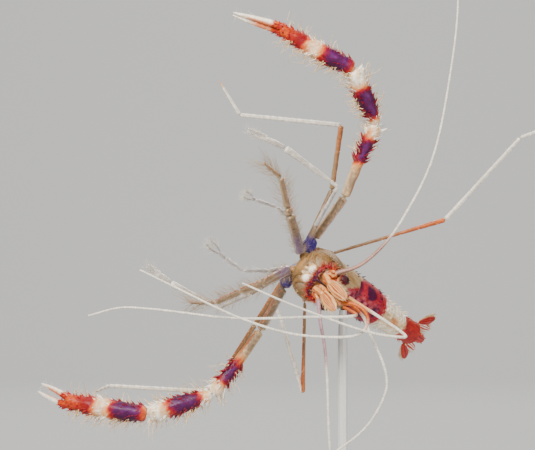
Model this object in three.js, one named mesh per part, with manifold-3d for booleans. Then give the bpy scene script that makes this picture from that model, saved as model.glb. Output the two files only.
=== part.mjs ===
// Banded coral shrimp (Stenopus hispidus), life size, as a still model held up by a plain display stand.
// Millimetres, +Z up. The origin is the middle of the underside of the stand's foot.
// The animal hangs with its face towards -Y, its back towards the lower right (+X, -Z), its tail raised
// behind it, and its two great claws spread wide.
import * as THREE from 'three';
import { mergeVertices } from 'three/addons/utils/BufferGeometryUtils.js';
import Module from 'manifold-3d';

const wasm = await Module();
wasm.setup();

// ---- driving dimensions ----
const GAP = 0.3; // clear space between neighbouring pieces
const SEAM = GAP / 2;

const FOOT_RADIUS = 24;
const FOOT_THICKNESS = 4;
const FOOT_BEVEL = 0.8;
const ROD_RADIUS = 1;
const ROD_TOP = 53;

const BODY_CENTRE = new THREE.Vector3(-5, -12, 60);
const BACK_WAY = new THREE.Vector3(0.8, 0, -0.6); // where the back faces
const RIGHT_WAY = new THREE.Vector3(0.6, 0, 0.8); // where the right flank faces
const FRONT_WAY = new THREE.Vector3(0, -1, 0); // where the face looks
const HEAD_DROP = THREE.MathUtils.degToRad(2);
const HEAD_TURN = THREE.MathUtils.degToRad(5.5); // towards the animal's left

const CARAPACE_LENGTH = 13;
const CARAPACE_HALF = CARAPACE_LENGTH / 2;
const ROSTRUM_LENGTH = 3.4;
const EYE_RADIUS = 0.95;
const SCALE_WIDTH = 2;
const BLADE_THICKNESS = 0.5;

const ABDOMEN_ROOT = -CARAPACE_HALF - GAP; // along the body, behind the carapace
const TAIL_TURN = THREE.MathUtils.degToRad(-2.5); // how the tail swings towards the animal's left
const ANTENNA_RADIUS = 0.36;
const ANTENNA_TIP_RADIUS = 0.26;
const FLAGELLUM_RADIUS = 0.3;
const FLAGELLUM_TIP_RADIUS = 0.25;

// ---- small helpers ----
const at = (x, y, z) => new THREE.Vector3(x, y, z);

// a closed mesh with shared vertices and no collapsed triangles
function weld(geometry) {
  const bare = geometry.clone();
  bare.deleteAttribute('normal');
  bare.deleteAttribute('uv');
  const merged = mergeVertices(bare, 1e-4);
  const kept = [];
  for (let i = 0; i < merged.index.count; i += 3) {
    const [a, b, c] = [0, 1, 2].map((k) => merged.index.getX(i + k));
    if (a !== b && b !== c && c !== a) kept.push(a, b, c);
  }
  merged.setIndex(kept);
  return merged;
}

function solid(geometry) {
  const welded = weld(geometry);
  return new wasm.Manifold(new wasm.Mesh({
    numProp: 3,
    vertProperties: new Float32Array(welded.attributes.position.array),
    triVerts: new Uint32Array(welded.index.array),
  }));
}

function geometryOf(manifold) {
  const mesh = manifold.getMesh();
  const geometry = new THREE.BufferGeometry();
  geometry.setAttribute('position', new THREE.BufferAttribute(mesh.vertProperties, 3));
  geometry.setIndex(new THREE.BufferAttribute(mesh.triVerts, 1));
  return geometry;
}

const joined = (geometries) => geometryOf(
  geometries.map(solid).reduce((whole, piece) => whole.add(piece)),
);

function turnedFrom(geometry, from, to) {
  const direction = to.clone().sub(from).normalize();
  geometry.applyQuaternion(new THREE.Quaternion().setFromUnitVectors(at(0, 1, 0), direction));
  return geometry.translate(from.x, from.y, from.z);
}

// one straight limb piece with rounded ends, and with a fuller middle where swell is given
function article(from, to, startRadius, endRadius, sides = 6, swell = 0) {
  const length = from.distanceTo(to);
  const profile = [
    [0, 0],
    [0.75 * startRadius, 0],
    [startRadius, 0.12 * length],
    ...(swell > 0 ? [[swell, 0.5 * length]] : []),
    [endRadius, 0.88 * length],
    [0.75 * endRadius, length],
    [0, length],
  ].map(([r, y]) => new THREE.Vector2(r, y));
  return turnedFrom(new THREE.LatheGeometry(profile, sides), from, to);
}

// straight pieces that share their bends: radii holds one value for each joint
function limb(joints, radii, sides = 5) {
  const pieces = [];
  for (let i = 1; i < joints.length; i += 1) {
    const back = joints[i - 1].clone().sub(joints[i]).setLength(i > 1 ? 0.6 * radii[i - 1] : 0);
    pieces.push(article(joints[i - 1].clone().add(back), joints[i], radii[i - 1], radii[i], sides));
  }
  return joined(pieces);
}

// the joints moved in along their own line, so that two pieces meet with a seam
function trimmed(joints, startTrim, endTrim) {
  const moved = joints.map((joint) => joint.clone());
  const last = moved.length - 1;
  moved[0].add(moved[1].clone().sub(moved[0]).setLength(startTrim));
  moved[last].add(moved[last - 1].clone().sub(moved[last]).setLength(endTrim));
  return moved;
}

// a round thread along a smooth curve
function thread(points, radius, steps) {
  const sides = 5;
  const ring = Array.from({ length: sides }, (_, i) => {
    const angle = (2 * Math.PI * i) / sides;
    return new THREE.Vector2(radius * Math.cos(angle), radius * Math.sin(angle));
  });
  const path = new THREE.CatmullRomCurve3(trimmed(points, GAP, SEAM), false, 'centripetal');
  return new THREE.ExtrudeGeometry(new THREE.Shape(ring), { steps, extrudePath: path });
}

// a body section lofted along Y, from the front station to the rear one.
// Each station: [y, half width, height above, depth below, middle height]
function barrel(stations, sides) {
  const geometry = new THREE.CylinderGeometry(1, 1, 1, sides, stations.length - 1);
  const position = geometry.attributes.position;
  for (let i = 0; i < position.count; i += 1) {
    const row = Math.round((0.5 - position.getY(i)) * (stations.length - 1));
    const [y, width, above, below, middle] = stations[row];
    const x = position.getX(i);
    const z = position.getZ(i);
    position.setXYZ(i, x * width, y, middle + z * (z > 0 ? above : below));
  }
  return geometry;
}

// a row of spines that stand out from a straight limb piece, leaning towards its tip
function spines(from, to, radius, height, angles, start = 0.15, stop = 0.9, count = 5) {
  const along = to.clone().sub(from);
  const direction = along.clone().normalize();
  const aside = at(0, 1, 0).cross(direction).normalize();
  const cones = [];
  for (const angle of angles) {
    const outward = aside.clone().applyAxisAngle(direction, THREE.MathUtils.degToRad(angle));
    for (let i = 0; i < count; i += 1) {
      const place = from.clone().addScaledVector(along, start + ((stop - start) * i) / (count - 1));
      const tip = place.clone()
        .addScaledVector(outward, radius + height)
        .addScaledVector(direction, 0.5 * height);
      const cone = new THREE.ConeGeometry(0.28 * height + 0.12, radius + height, 4);
      cone.translate(0, (radius + height) / 2, 0);
      cones.push(turnedFrom(cone, place, tip));
    }
  }
  return cones;
}

// ---- the scene graph and its finishes ----
const shrimp = new THREE.Group();
const animal = new THREE.Group(); // limbs are placed from the middle of the body
animal.position.copy(BODY_CENTRE);
shrimp.add(animal);

const forward = FRONT_WAY.clone()
  .multiplyScalar(Math.cos(HEAD_DROP) * Math.cos(HEAD_TURN))
  .addScaledVector(BACK_WAY, -Math.sin(HEAD_DROP))
  .addScaledVector(RIGHT_WAY, -Math.sin(HEAD_TURN))
  .normalize();
const dorsal = BACK_WAY.clone().addScaledVector(forward, -BACK_WAY.dot(forward)).normalize();
const right = forward.clone().cross(dorsal);
const body = new THREE.Group(); // x to the animal's right, y forward, z towards its back
body.quaternion.setFromRotationMatrix(new THREE.Matrix4().makeBasis(right, forward, dorsal));
animal.add(body);

const onBody = (x, y, z) => right.clone()
  .multiplyScalar(x)
  .addScaledVector(forward, y)
  .addScaledVector(dorsal, z);

const SHELL = { color: 0xb09468, roughness: 0.45 };
const RED_SHELL = { color: 0xa81c30, roughness: 0.4 };
const WHITE_SHELL = { color: 0xe9e2d2, roughness: 0.45 };
const CLEAR_FLESH = { color: 0xa09a90, roughness: 0.4 };
const VIOLET = { color: 0x3c2c9c, roughness: 0.4 };
const ORANGE = { color: 0xcf7d45, roughness: 0.45 };
const THREAD = { color: 0xeee6dc, roughness: 0.5 };
const EYE = { color: 0x3a1410, roughness: 0.1 };
const STAND = { color: 0xd8d8d4, roughness: 0.4 };

function place(parent, name, geometry, finish) {
  const mesh = new THREE.Mesh(geometry, new THREE.MeshStandardMaterial({ metalness: 0, ...finish }));
  mesh.name = name;
  parent.add(mesh);
  return mesh;
}

const SIDES = [['right', 1], ['left', -1]];

// ---- carapace and the breastplate that the legs spring from ----
const STERNUM_HALF_WIDTH = 2.7;
const STERNUM_TOP = -2.6;
const CARAPACE_STATIONS = [
  [CARAPACE_HALF, 3.3, 4, 3.4, 0],
  [0.84 * CARAPACE_HALF, 4.4, 4.6, 4, 0],
  [0.45 * CARAPACE_HALF, 4.9, 4.9, 4.4, 0],
  [-0.1 * CARAPACE_HALF, 4.8, 4.9, 4.4, 0],
  [-0.6 * CARAPACE_HALF, 4.3, 4.5, 4.1, 0],
  [-CARAPACE_HALF, 3.7, 3.9, 3.4, 0],
];

function block(width, length, bottom, top) {
  const box = new THREE.BoxGeometry(width, length, top - bottom);
  return box.translate(0, 0, (top + bottom) / 2);
}

function makeCarapace() {
  const trunk = solid(barrel(CARAPACE_STATIONS, 18));
  const gut = solid(block(2 * STERNUM_HALF_WIDTH, 2 * CARAPACE_LENGTH, -10, STERNUM_TOP));
  const plate = solid(block(2 * (STERNUM_HALF_WIDTH - GAP), 2 * CARAPACE_LENGTH, -10, STERNUM_TOP - GAP));
  const rostrumRoot = at(0, 0.8 * CARAPACE_HALF, 4.2);
  const rostrumTip = at(0, CARAPACE_HALF + ROSTRUM_LENGTH, 5.1);
  const rostrum = article(rostrumRoot, rostrumTip, 0.9, 0.15, 6);
  const teeth = [0.35, 0.55, 0.75].map((share) => {
    const root = rostrumRoot.clone().lerp(rostrumTip, share);
    return turnedFrom(new THREE.ConeGeometry(0.35, 2.2, 4), root, root.clone().add(at(0, 0.6, 1)));
  });
  let shell = trunk.subtract(gut);
  for (const piece of [rostrum, ...teeth]) shell = shell.add(solid(piece));
  place(body, 'carapace', geometryOf(shell), SHELL);
  place(body, 'sternum', geometryOf(trunk.intersect(plate)), CLEAR_FLESH);
}

// ---- the face ----
function makeMouthparts() {
  const front = CARAPACE_HALF + GAP;
  const stations = [
    [front + 2.6, 0.9, 0.6, 0.9, -1.2],
    [front + 2, 1.8, 1.3, 1.9, -1],
    [front + 0.8, 2.3, 1.8, 2.5, -0.9],
    [front, 2.4, 1.8, 2.6, -0.9],
  ];
  place(body, 'mouthparts', barrel(stations, 10), WHITE_SHELL);
}

function makeEyes() {
  for (const [side, way] of SIDES) {
    const eyeCentre = at(way * 2.95, 8.4, 4.55);
    const stalkRoot = at(way * 1, CARAPACE_HALF + GAP + 0.35, 3.2);
    const reach = eyeCentre.distanceTo(stalkRoot) - EYE_RADIUS - GAP;
    const stalkEnd = stalkRoot.clone().add(eyeCentre.clone().sub(stalkRoot).setLength(reach));
    place(body, `eyestalk_${side}`, article(stalkRoot, stalkEnd, 0.5, 0.7), CLEAR_FLESH);
    const eye = new THREE.SphereGeometry(EYE_RADIUS, 8, 6);
    place(body, `eye_${side}`, eye, EYE).position.copy(eyeCentre);
  }
}

const ANTENNULE_TIP = { right: at(5, -11, -4), left: at(4.2, -11.2, -5.2) };
const SCALE_TIP = { right: at(5, -13.9, -4.3), left: at(3, -13.9, -6.4) };
const SCALE_ROOT = { right: onBody(1.1, 10.5, 2.6), left: onBody(-1.15, 10.5, 2.75) };
const ANTENNA_ROOT = { right: at(3.4, -8.6, 0.5), left: at(-0.1, -8.9, -4.5) };

// a flat blade with a rounded end
function blade(from, to, width, facing) {
  const length = from.distanceTo(to);
  const outline = new THREE.Shape();
  outline.moveTo(-0.35 * width, 0);
  outline.quadraticCurveTo(-0.6 * width, 0.6 * length, -0.2 * width, length);
  outline.lineTo(0.2 * width, length);
  outline.quadraticCurveTo(0.6 * width, 0.6 * length, 0.35 * width, 0);
  const flat = new THREE.ExtrudeGeometry(outline, {
    depth: BLADE_THICKNESS,
    bevelEnabled: false,
    curveSegments: 2,
  });
  flat.translate(0, 0, -BLADE_THICKNESS / 2);
  const along = to.clone().sub(from).normalize();
  const across = along.clone().cross(facing).normalize();
  const normal = across.clone().cross(along);
  flat.applyMatrix4(new THREE.Matrix4().makeBasis(across, along, normal));
  return flat.translate(from.x, from.y, from.z);
}

function makeFeelerRoots() {
  for (const [side, way] of SIDES) {
    const antennuleRoot = onBody(way * 0.7, CARAPACE_HALF + 3 * GAP, 1.7);
    const elbow = antennuleRoot.clone().lerp(ANTENNULE_TIP[side], 0.4)
      .addScaledVector(forward, 0.6)
      .addScaledVector(right, way * 0.4);
    place(animal, `antennule_${side}`, limb(
      [antennuleRoot, elbow, ANTENNULE_TIP[side]],
      [0.6, 0.55, 0.45],
    ), ORANGE);
    const antennaRoot = onBody(way * 2.35, CARAPACE_HALF + 2 * GAP + 0.2, 1.6);
    place(animal, `antenna_base_${side}`, article(
      ...trimmed([antennaRoot, ANTENNA_ROOT[side]], 0, SEAM),
      0.75,
      0.5,
    ), ORANGE);
    const scaleRoot = SCALE_ROOT[side];
    const stalkRoot = onBody(way * 1.55, CARAPACE_HALF + 1.8, 1);
    const stalk = article(stalkRoot, scaleRoot.clone().lerp(SCALE_TIP[side], 0.08), 0.4, 0.4, 5);
    const scale = blade(scaleRoot, SCALE_TIP[side], SCALE_WIDTH, forward);
    place(animal, `antenna_scale_${side}`, joined([scale, stalk]), ORANGE);
  }
}

// ---- feelers ----
// Each route is a chain of places, from the root to the tip, seen from the middle of the body.
const ANTENNA_ROUTES = {
  right: [
    at(3.4, -8.6, 0.5), at(7.7, -9.5, 2), at(12.4, -10, 6.1), at(16.1, -10, 11.4), at(21.2, -9, 21.7),
    at(24.7, -7, 37.7), at(26.3, -5, 51.9), at(25.4, -2, 66), at(21, 2, 79),
  ],
  left: [
    at(-0.1, -8.9, -4.5), at(0.2, -10, -8.2), at(1, -10.5, -12.9), at(1.5, -10.5, -18.5), at(2.1, -10, -32.5),
    at(3.6, -8, -41.5), at(9.5, -4, -48), at(20, 4, -50.5), at(33, 13, -50), at(43, 20, -47),
  ],
};
const LOWER_OUTER = [
  at(4.6, -11.7, -5.7), at(6.9, -12.6, -7.2), at(5.6, -13.4, -7.5), at(-1.7, -13.6, -7.6),
  at(-15.6, -14, -7.8), at(-31.4, -13, -6.1), at(-37, -12.5, -5.9), at(-43, -12, -7.4),
];
const LOWER_INNER = [
  at(4.6, -12.2, -5), at(7, -13.8, -5.4), at(8.5, -14.5, -6.6), at(9, -14.6, -8.4), at(8.2, -14.6, -10.1),
  at(6.2, -14.6, -11.1), at(2, -14.4, -11.3), at(-5.4, -15, -10.6), at(-14.7, -15.8, -7.7),
  at(-26.7, -16, -2), at(-33.2, -16, 1.2),
];
const UPPER_OUTER = [
  at(5.5, -11.5, -4.1), at(10.4, -12.5, -7.1), at(16.1, -13, -11.2), at(14.9, -13.9, -11.3),
  at(9.4, -15.2, -10.4), at(-0.8, -16.8, -6.9), at(-7.3, -17.4, -4.3), at(-14.3, -17.4, -1.2),
];
const UPPER_INNER = [
  at(5.1, -11, -4.6), at(8.2, -11.4, -7.5), at(9.3, -11.8, -10.2), at(12.3, -12, -17.5), at(12.5, -12, -21.2),
  at(9.1, -12, -27.7), at(3.5, -12, -32.4), at(-3.5, -12, -36.5), at(-11, -11, -38.5),
];

// a route as one thread for each length, split at the given places
function makeThreads(name, route, splits, rootRadius, tipRadius) {
  const ends = [0, ...splits, route.length - 1];
  for (let i = 1; i < ends.length; i += 1) {
    const points = route.slice(ends[i - 1], ends[i] + 1);
    const share = splits.length > 0 ? (i - 1) / splits.length : 0;
    const radius = THREE.MathUtils.lerp(rootRadius, tipRadius, share);
    const label = splits.length > 0 ? `${name}_${i}` : name;
    const steps = Math.min(18, 3 * (points.length - 1));
    place(animal, label, thread(points, radius, steps), THREAD);
  }
}

function makeFeelers() {
  makeThreads('antenna_right', ANTENNA_ROUTES.right, [4], ANTENNA_RADIUS, ANTENNA_TIP_RADIUS);
  makeThreads('antenna_left', ANTENNA_ROUTES.left, [4], ANTENNA_RADIUS, ANTENNA_TIP_RADIUS);
  makeThreads('antennule_left_outer', LOWER_OUTER, [], FLAGELLUM_RADIUS, FLAGELLUM_RADIUS);
  makeThreads('antennule_left_inner', LOWER_INNER, [6], FLAGELLUM_RADIUS, FLAGELLUM_TIP_RADIUS);
  makeThreads('antennule_right_outer', UPPER_OUTER, [3], FLAGELLUM_RADIUS, FLAGELLUM_TIP_RADIUS);
  makeThreads('antennule_right_inner', UPPER_INNER, [], FLAGELLUM_RADIUS, FLAGELLUM_TIP_RADIUS);
}

// ---- legs ----
// a leg's socket on the breastplate; back is its place along the body
const socket = (way, back) => onBody(way * 1.75, back, -5.2);

const MAXILLIPED_JOINTS = {
  right: [at(-5.4, -8.5, 11.4), at(-5.9, -9, 12.7), at(-7.1, -10, 18.3), at(-10.4, -10, 21.1)],
  left: [at(-10.6, -8, -1.6), at(-14.7, -9, -3), at(-19.4, -10, -5.1), at(-24.1, -10, -5.1)],
};
const FIRST_LEG_JOINTS = {
  right: [at(-5, -6, 10.4), at(-8, -7, 12.9), at(-11.9, -7.5, 14.2), at(-13.9, -8, 15.3)],
  left: [at(-9.5, -6, 0.9), at(-14.2, -7, 0.9), at(-17.6, -8, 3.3), at(-20.7, -9, 6.3)],
};
const SECOND_LEG_JOINTS = {
  right: [at(-0.6, -2.5, 9.2), at(3.7, -3, 16.7), at(-6.3, -5, 24), at(-13.3, -6, 27.4)],
  left: [at(-12.9, -3.4, -3.5), at(-18.9, -4.4, -6.2), at(-27.9, -6, -1.4), at(-32.2, -7, 1.8)],
};
const CLAW_JOINTS = {
  right: [
    at(-0.6, -0.2, 7), at(5.1, -0.5, 14.8), at(11, -2, 28.6), at(6.6, -7, 38.8), at(-7.4, -8, 46.4),
    at(-16.1, -8, 49.1),
  ],
  left: [
    at(-6.5, -0.2, -2.5), at(-11, -0.5, -10.6), at(-20.1, -1.5, -22.5), at(-32.4, -2, -26.3),
    at(-48.2, 2.6, -24), at(-53.5, 8.2, -21.8),
  ],
};
const FOURTH_LEG_JOINTS = {
  right: [at(2.7, 3.5, 16.2), at(4.5, 4, 28.6), at(-14.9, 2, 30.5), at(-18.8, 1, 36.9)],
  left: [at(-12, 4, -9.6), at(-20.2, 5, -22.5), at(-40, 5, -21.3), at(-42.8, 9, -22.7)],
};
const FIFTH_LEG_JOINTS = {
  right: [at(3.1, 8, 4.1), at(24.6, 8, 10.5), at(38.9, 6, 26.2), at(46.4, 5, 29.2)],
  left: [at(-2.4, 8.4, -5.4), at(-2.8, 9, -22.9), at(-7, 10, -8.8), at(-9.1, 10, -4)],
};

const KNEE_FOLD = 2.6; // how far past the knee a tightly folded leg comes clear of itself

function makeSlenderLegs() {
  for (const [side, way] of SIDES) {
    place(animal, `maxilliped_${side}`, limb(
      [socket(way, 5.4), ...MAXILLIPED_JOINTS[side]],
      [0.8, 0.75, 0.75, 0.6, 0.35],
    ), CLEAR_FLESH);
    place(animal, `leg_1_${side}`, limb(
      [socket(way, 3.5), ...FIRST_LEG_JOINTS[side]],
      [0.6, 0.4, 0.35, 0.4, 0.3],
    ), CLEAR_FLESH);
    place(animal, `leg_2_${side}`, limb(
      [socket(way, 1.9), ...SECOND_LEG_JOINTS[side]],
      [0.6, 0.4, 0.35, 0.65, 0.3],
    ), CLEAR_FLESH);
    const fourth = [socket(way, -2), ...FOURTH_LEG_JOINTS[side]];
    place(animal, `leg_4_upper_${side}`, limb(
      trimmed(fourth.slice(0, 3), 0, 2 * GAP),
      [0.7, 0.55, 0.45],
    ), ORANGE);
    place(animal, `leg_4_lower_${side}`, limb(
      trimmed(fourth.slice(2), 2 * GAP, 0),
      [0.45, 0.4, 0.28],
    ), WHITE_SHELL);
    const fifth = [socket(way, -4.3), onBody(way * 3.3, -6.2, -3.4), ...FIFTH_LEG_JOINTS[side]];
    place(animal, `leg_5_upper_${side}`, limb(
      trimmed(fifth.slice(0, 4), 0, 2 * GAP),
      [0.6, 0.5, 0.3, 0.42],
    ), ORANGE);
    place(animal, `leg_5_lower_${side}`, limb(
      trimmed(fifth.slice(3), KNEE_FOLD, 0),
      [0.4, 0.36, 0.28],
    ), WHITE_SHELL);
  }
}

const PALM_RADII = { right: [1.3, 1.75, 1.1], left: [1.35, 1.92, 1.35] };

function makeClawArms() {
  for (const [side, way] of SIDES) {
    const [base, ischium, merus, carpus, palm, tip] = CLAW_JOINTS[side];
    const piece = (name, from, to, [startRadius, middle, endRadius], finish, extra = []) => {
      const [start, end] = trimmed([from, to], 0.45 * startRadius + SEAM, GAP);
      const limbPiece = article(start, end, startRadius, endRadius, 8, middle);
      place(animal, `claw_${name}_${side}`, joined([limbPiece, ...extra]), finish);
    };
    const baseJoints = trimmed([socket(way, 0.1), base], SEAM, SEAM);
    place(animal, `claw_base_${side}`, limb(baseJoints, [0.9, 0.85], 7), VIOLET);
    piece('ischium', base, ischium, [0.65, 0.7, 0.75], CLEAR_FLESH);
    const meral = spines(ischium, merus, 1, 0.9, [0, 120, 240], 0.5, 0.86, 3);
    piece('merus', ischium, merus, [0.7, 0.95, 1.2], RED_SHELL, meral);
    const carpal = spines(merus, carpus, 1.3, 1, [0, 90, 180, 270], 0.32, 0.8, 3);
    piece('carpus', merus, carpus, [0.9, 1.6, 1.5], RED_SHELL, carpal);
    const palmar = spines(carpus, palm, 1.4, 1, [0, 90, 180, 270], 0.18, 0.88, 4);
    const fixed = finger(palm, tip, 1, side, -3 * GAP);
    piece('palm', carpus, palm, PALM_RADII[side], RED_SHELL, [...palmar, fixed]);
    place(animal, `claw_finger_${side}`, finger(palm, tip, -1, side, 2 * GAP), WHITE_SHELL);
  }
}

// one finger of the claw: the fixed one grows from the palm, and the other lies beside it
const GAPE = { right: 0.4, left: 1 }; // how far each fingertip stands off the claw's own line
const HAND_TURN = { right: 0.87, left: 0 }; // how far the fingers open towards the viewer, in radians
function finger(palm, tip, way, side, setBack) {
  const along = tip.clone().sub(palm).normalize();
  const aside = along.clone().cross(at(0, 1, 0)).normalize().applyAxisAngle(along, -HAND_TURN[side]);
  const root = palm.clone().addScaledVector(aside, way * 0.72).addScaledVector(along, setBack);
  const end = tip.clone().addScaledVector(aside, way * GAPE[side]);
  const knuckle = root.clone().lerp(end, 0.5).addScaledVector(aside, way * 0.14);
  return limb([root, knuckle, end], [0.55, 0.5, 0.22], 6);
}

// ---- abdomen ----
// Each ring: its length, how steeply it climbs towards the back, its half width, height and depth
const RINGS = [
  { length: 3, climb: 34, width: 3.7, above: 3.6, below: 3 },
  { length: 4.8, climb: 46, width: 3.65, above: 3.5, below: 3.3 },
  { length: 7.2, climb: 50, width: 3.5, above: 3.4, below: 3.3 },
  { length: 4.5, climb: 48, width: 3, above: 2.9, below: 2.9 },
  { length: 4.6, climb: 44, width: 2.5, above: 2.4, below: 2.5 },
  { length: 6, climb: 36, width: 2, above: 1.9, below: 1.8 },
];
const TELSON = { length: 7.2, climb: 28 };
const SWIMMERET_RINGS = 5;
const BEYOND = 20; // clear of any ring, for cutting

function ringShape({ length, width, above, below }) {
  const half = length / 2 - SEAM;
  const lap = 1.2; // how far the front edge reaches before it is cut
  return barrel([
    [half + lap, 0.86 * width, 0.86 * above, 0.8 * below, 0],
    [0.55 * half, 0.98 * width, 0.98 * above, below, 0],
    [-0.35 * half, width, above, 0.96 * below, 0],
    [-half, 0.84 * width, 0.86 * above, 0.8 * below, 0],
  ], 14);
}

function swimmeret(way, { width, below }) {
  const root = at(way * 0.45 * width, 0, -0.7 * below);
  const tip = at(way * 0.55 * width, -1.2, -below - 2.9);
  return article(root, tip, 0.5, 0.35, 5, 0.6);
}

const tail = new THREE.Group(); // swings from the rear of the carapace
tail.position.set(0, ABDOMEN_ROOT, 0.2);
tail.rotation.z = TAIL_TURN;
body.add(tail);

// a run of the given length that climbs towards the back as it goes backwards
function climbing(length, climb) {
  const angle = THREE.MathUtils.degToRad(climb);
  return at(0, -Math.cos(angle), Math.sin(angle)).multiplyScalar(length);
}

function putOnTail(name, geometry, middle, climb, finish) {
  const mesh = place(tail, name, geometry, finish);
  mesh.position.copy(middle);
  mesh.rotation.x = -THREE.MathUtils.degToRad(climb);
}

function makeAbdomen() {
  let end = at(0, 0, 0);
  let climbAhead = 0;
  let turnAhead = -TAIL_TURN; // the first ring meets the carapace, which keeps the body's line
  RINGS.forEach((ring, i) => {
    const half = climbing(ring.length / 2, ring.climb);
    const middle = end.clone().add(half);
    const ahead = block(BEYOND, BEYOND, -BEYOND / 2, BEYOND / 2)
      .translate(0, BEYOND / 2 - SEAM, 0)
      .rotateX(-THREE.MathUtils.degToRad(climbAhead))
      .rotateZ(turnAhead)
      .translate(0, end.y - middle.y, end.z - middle.z)
      .rotateX(THREE.MathUtils.degToRad(ring.climb));
    climbAhead = ring.climb;
    turnAhead = 0;
    const hoop = geometryOf(solid(ringShape(ring)).subtract(solid(ahead)));
    const swimmerets = i < SWIMMERET_RINGS ? SIDES.map(([, way]) => swimmeret(way, ring)) : [];
    const finish = i === 3 || i === 4 ? WHITE_SHELL : RED_SHELL;
    putOnTail(`abdomen_${i + 1}`, joined([hoop, ...swimmerets]), middle, ring.climb, finish);
    end = middle.add(half);
  });
  makeTailFan(end);
}

function makeTailFan(root) {
  const middle = root.clone().add(climbing(TELSON.length / 2, TELSON.climb));
  const half = TELSON.length / 2;
  putOnTail('telson', barrel([
    [half - GAP, 1.1, 1, 0.6, 0],
    [0.2 * half, 1.15, 0.7, 0.5, 0],
    [-0.6 * half, 0.9, 0.4, 0.35, 0],
    [-half, 0.45, 0.28, 0.28, 0],
  ], 10), middle, TELSON.climb, WHITE_SHELL);
  for (const [side, way] of SIDES) {
    const innerRoot = at(way * 1.95, half - 2 * GAP, -0.2);
    const outerRoot = at(way * 2.2, half - 2 * GAP, -0.3);
    const inner = blade(innerRoot, at(way * 2.6, -0.95 * half, -0.3), 1.6, at(0, 0, 1));
    const outer = blade(outerRoot, at(way * 4.3, -0.85 * half, -0.5), 2, at(way * 0.1, 0, 1));
    const stem = article(at(way * 1.85, half - GAP, -0.1), at(way * 2.1, half - 1.6, -0.3), 0.45, 0.5, 6);
    putOnTail(`uropod_${side}`, joined([inner, outer, stem]), middle, TELSON.climb, RED_SHELL);
  }
}

// ---- stand ----
function makeStand() {
  const foot = [
    [0, 0],
    [FOOT_RADIUS, 0],
    [FOOT_RADIUS, FOOT_THICKNESS - FOOT_BEVEL],
    [FOOT_RADIUS - FOOT_BEVEL, FOOT_THICKNESS],
    [0, FOOT_THICKNESS],
  ].map(([r, y]) => new THREE.Vector2(r, y));
  const disc = new THREE.LatheGeometry(foot, 24).rotateX(Math.PI / 2);
  place(shrimp, 'stand_base', geometryOf(solid(disc)), STAND);
  const rod = article(at(0, 0, FOOT_THICKNESS + GAP), at(0, 0, ROD_TOP), ROD_RADIUS, ROD_RADIUS, 10);
  place(shrimp, 'stand_rod', geometryOf(solid(rod)), STAND);
}

makeCarapace();
makeMouthparts();
makeEyes();
makeFeelerRoots();
makeFeelers();
makeSlenderLegs();
makeClawArms();
makeAbdomen();
makeStand();

export default shrimp;
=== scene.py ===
"""Banded coral shrimp: the looks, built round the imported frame.

Lengths are millimetres measured from the middle of the shrimp's body, as in the CAD, until Shape.make
turns them into metres in the row frame.
"""

import math

import bpy
import numpy as np
from mathutils import Euler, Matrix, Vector


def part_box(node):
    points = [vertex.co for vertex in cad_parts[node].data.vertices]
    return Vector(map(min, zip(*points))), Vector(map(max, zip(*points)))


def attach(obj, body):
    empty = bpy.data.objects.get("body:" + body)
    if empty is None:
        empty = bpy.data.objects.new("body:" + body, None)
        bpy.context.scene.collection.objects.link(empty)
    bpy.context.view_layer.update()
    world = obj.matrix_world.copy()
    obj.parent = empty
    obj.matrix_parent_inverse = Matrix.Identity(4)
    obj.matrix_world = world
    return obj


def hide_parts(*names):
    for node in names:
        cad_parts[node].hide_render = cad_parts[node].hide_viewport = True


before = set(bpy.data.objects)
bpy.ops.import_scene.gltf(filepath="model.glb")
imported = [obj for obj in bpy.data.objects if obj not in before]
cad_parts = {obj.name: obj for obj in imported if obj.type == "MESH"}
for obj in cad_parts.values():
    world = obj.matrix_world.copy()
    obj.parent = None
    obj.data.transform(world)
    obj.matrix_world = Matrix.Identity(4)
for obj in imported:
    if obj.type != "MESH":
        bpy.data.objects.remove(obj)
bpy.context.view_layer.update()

MM = 0.001
BODY_CENTRE = np.array([-5.0, -12.0, 60.0])
SIDES = (("right", 1.0), ("left", -1.0))
ROUND = 2 * math.pi
SIDEWAYS = (0.3, -1, 0.2)  # where angle 0 of a round limb points, unless its caller says
PATCH = 0.003  # a bristle's share of the unwrapped skin
THORN_SIDES = 6
BRISTLE_SIDES, BRISTLE_RINGS = 3, 5
NO_TRIS = np.zeros((0, 3), dtype=int)


# ---------------------------------------------------------------- numbers and directions
def vec(*xyz):
    return np.array(xyz, dtype=float)


def unit(v):
    v = np.asarray(v, dtype=float)
    return v / np.maximum(np.linalg.norm(v, axis=-1, keepdims=True), 1e-9)


def smooth(edge0, edge1, x):
    """0 before edge0, 1 after edge1, and a smooth step between them."""
    f = np.clip((np.asarray(x, dtype=float) - edge0) / (edge1 - edge0), 0, 1)
    return f * f * (3 - 2 * f)


def band(start, stop, soft, x):
    """1 between start and stop, and 0 outside, with soft edges."""
    return smooth(start - soft, start + soft, x) * (1 - smooth(stop - soft, stop + soft, x))


def spot(value, middle, size):
    """1 at the middle, falling away on both sides over about size."""
    return np.exp(-(((value - middle) / size) ** 2))


def dome(share, least):
    """How a rounded end's radius grows to 1 from its tip, at share 0, where it is the root of least."""
    return np.sqrt(np.clip(1 - (1 - np.minimum(share, 1)) ** 2, least, 1))


def mix(a, b, f):
    """a where f is 0, b where it is 1; f has one value for each colour."""
    f = np.asarray(f, dtype=float)[..., None]
    return np.asarray(a) * (1 - f) + np.asarray(b) * f


def ripple(points, scale, seed):
    """A soft pseudo-random value from 0 to 1 at each point, about scale millimetres across."""
    turn = np.random.default_rng(seed)
    value = np.zeros(points.shape[:-1])
    for octave in range(4):
        way = unit(turn.normal(size=3))
        value += np.sin(points @ way * (2.2 * 1.6**octave) / scale + turn.uniform(0, 6.3)) / 4
    return 0.5 + 0.5 * value


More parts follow.
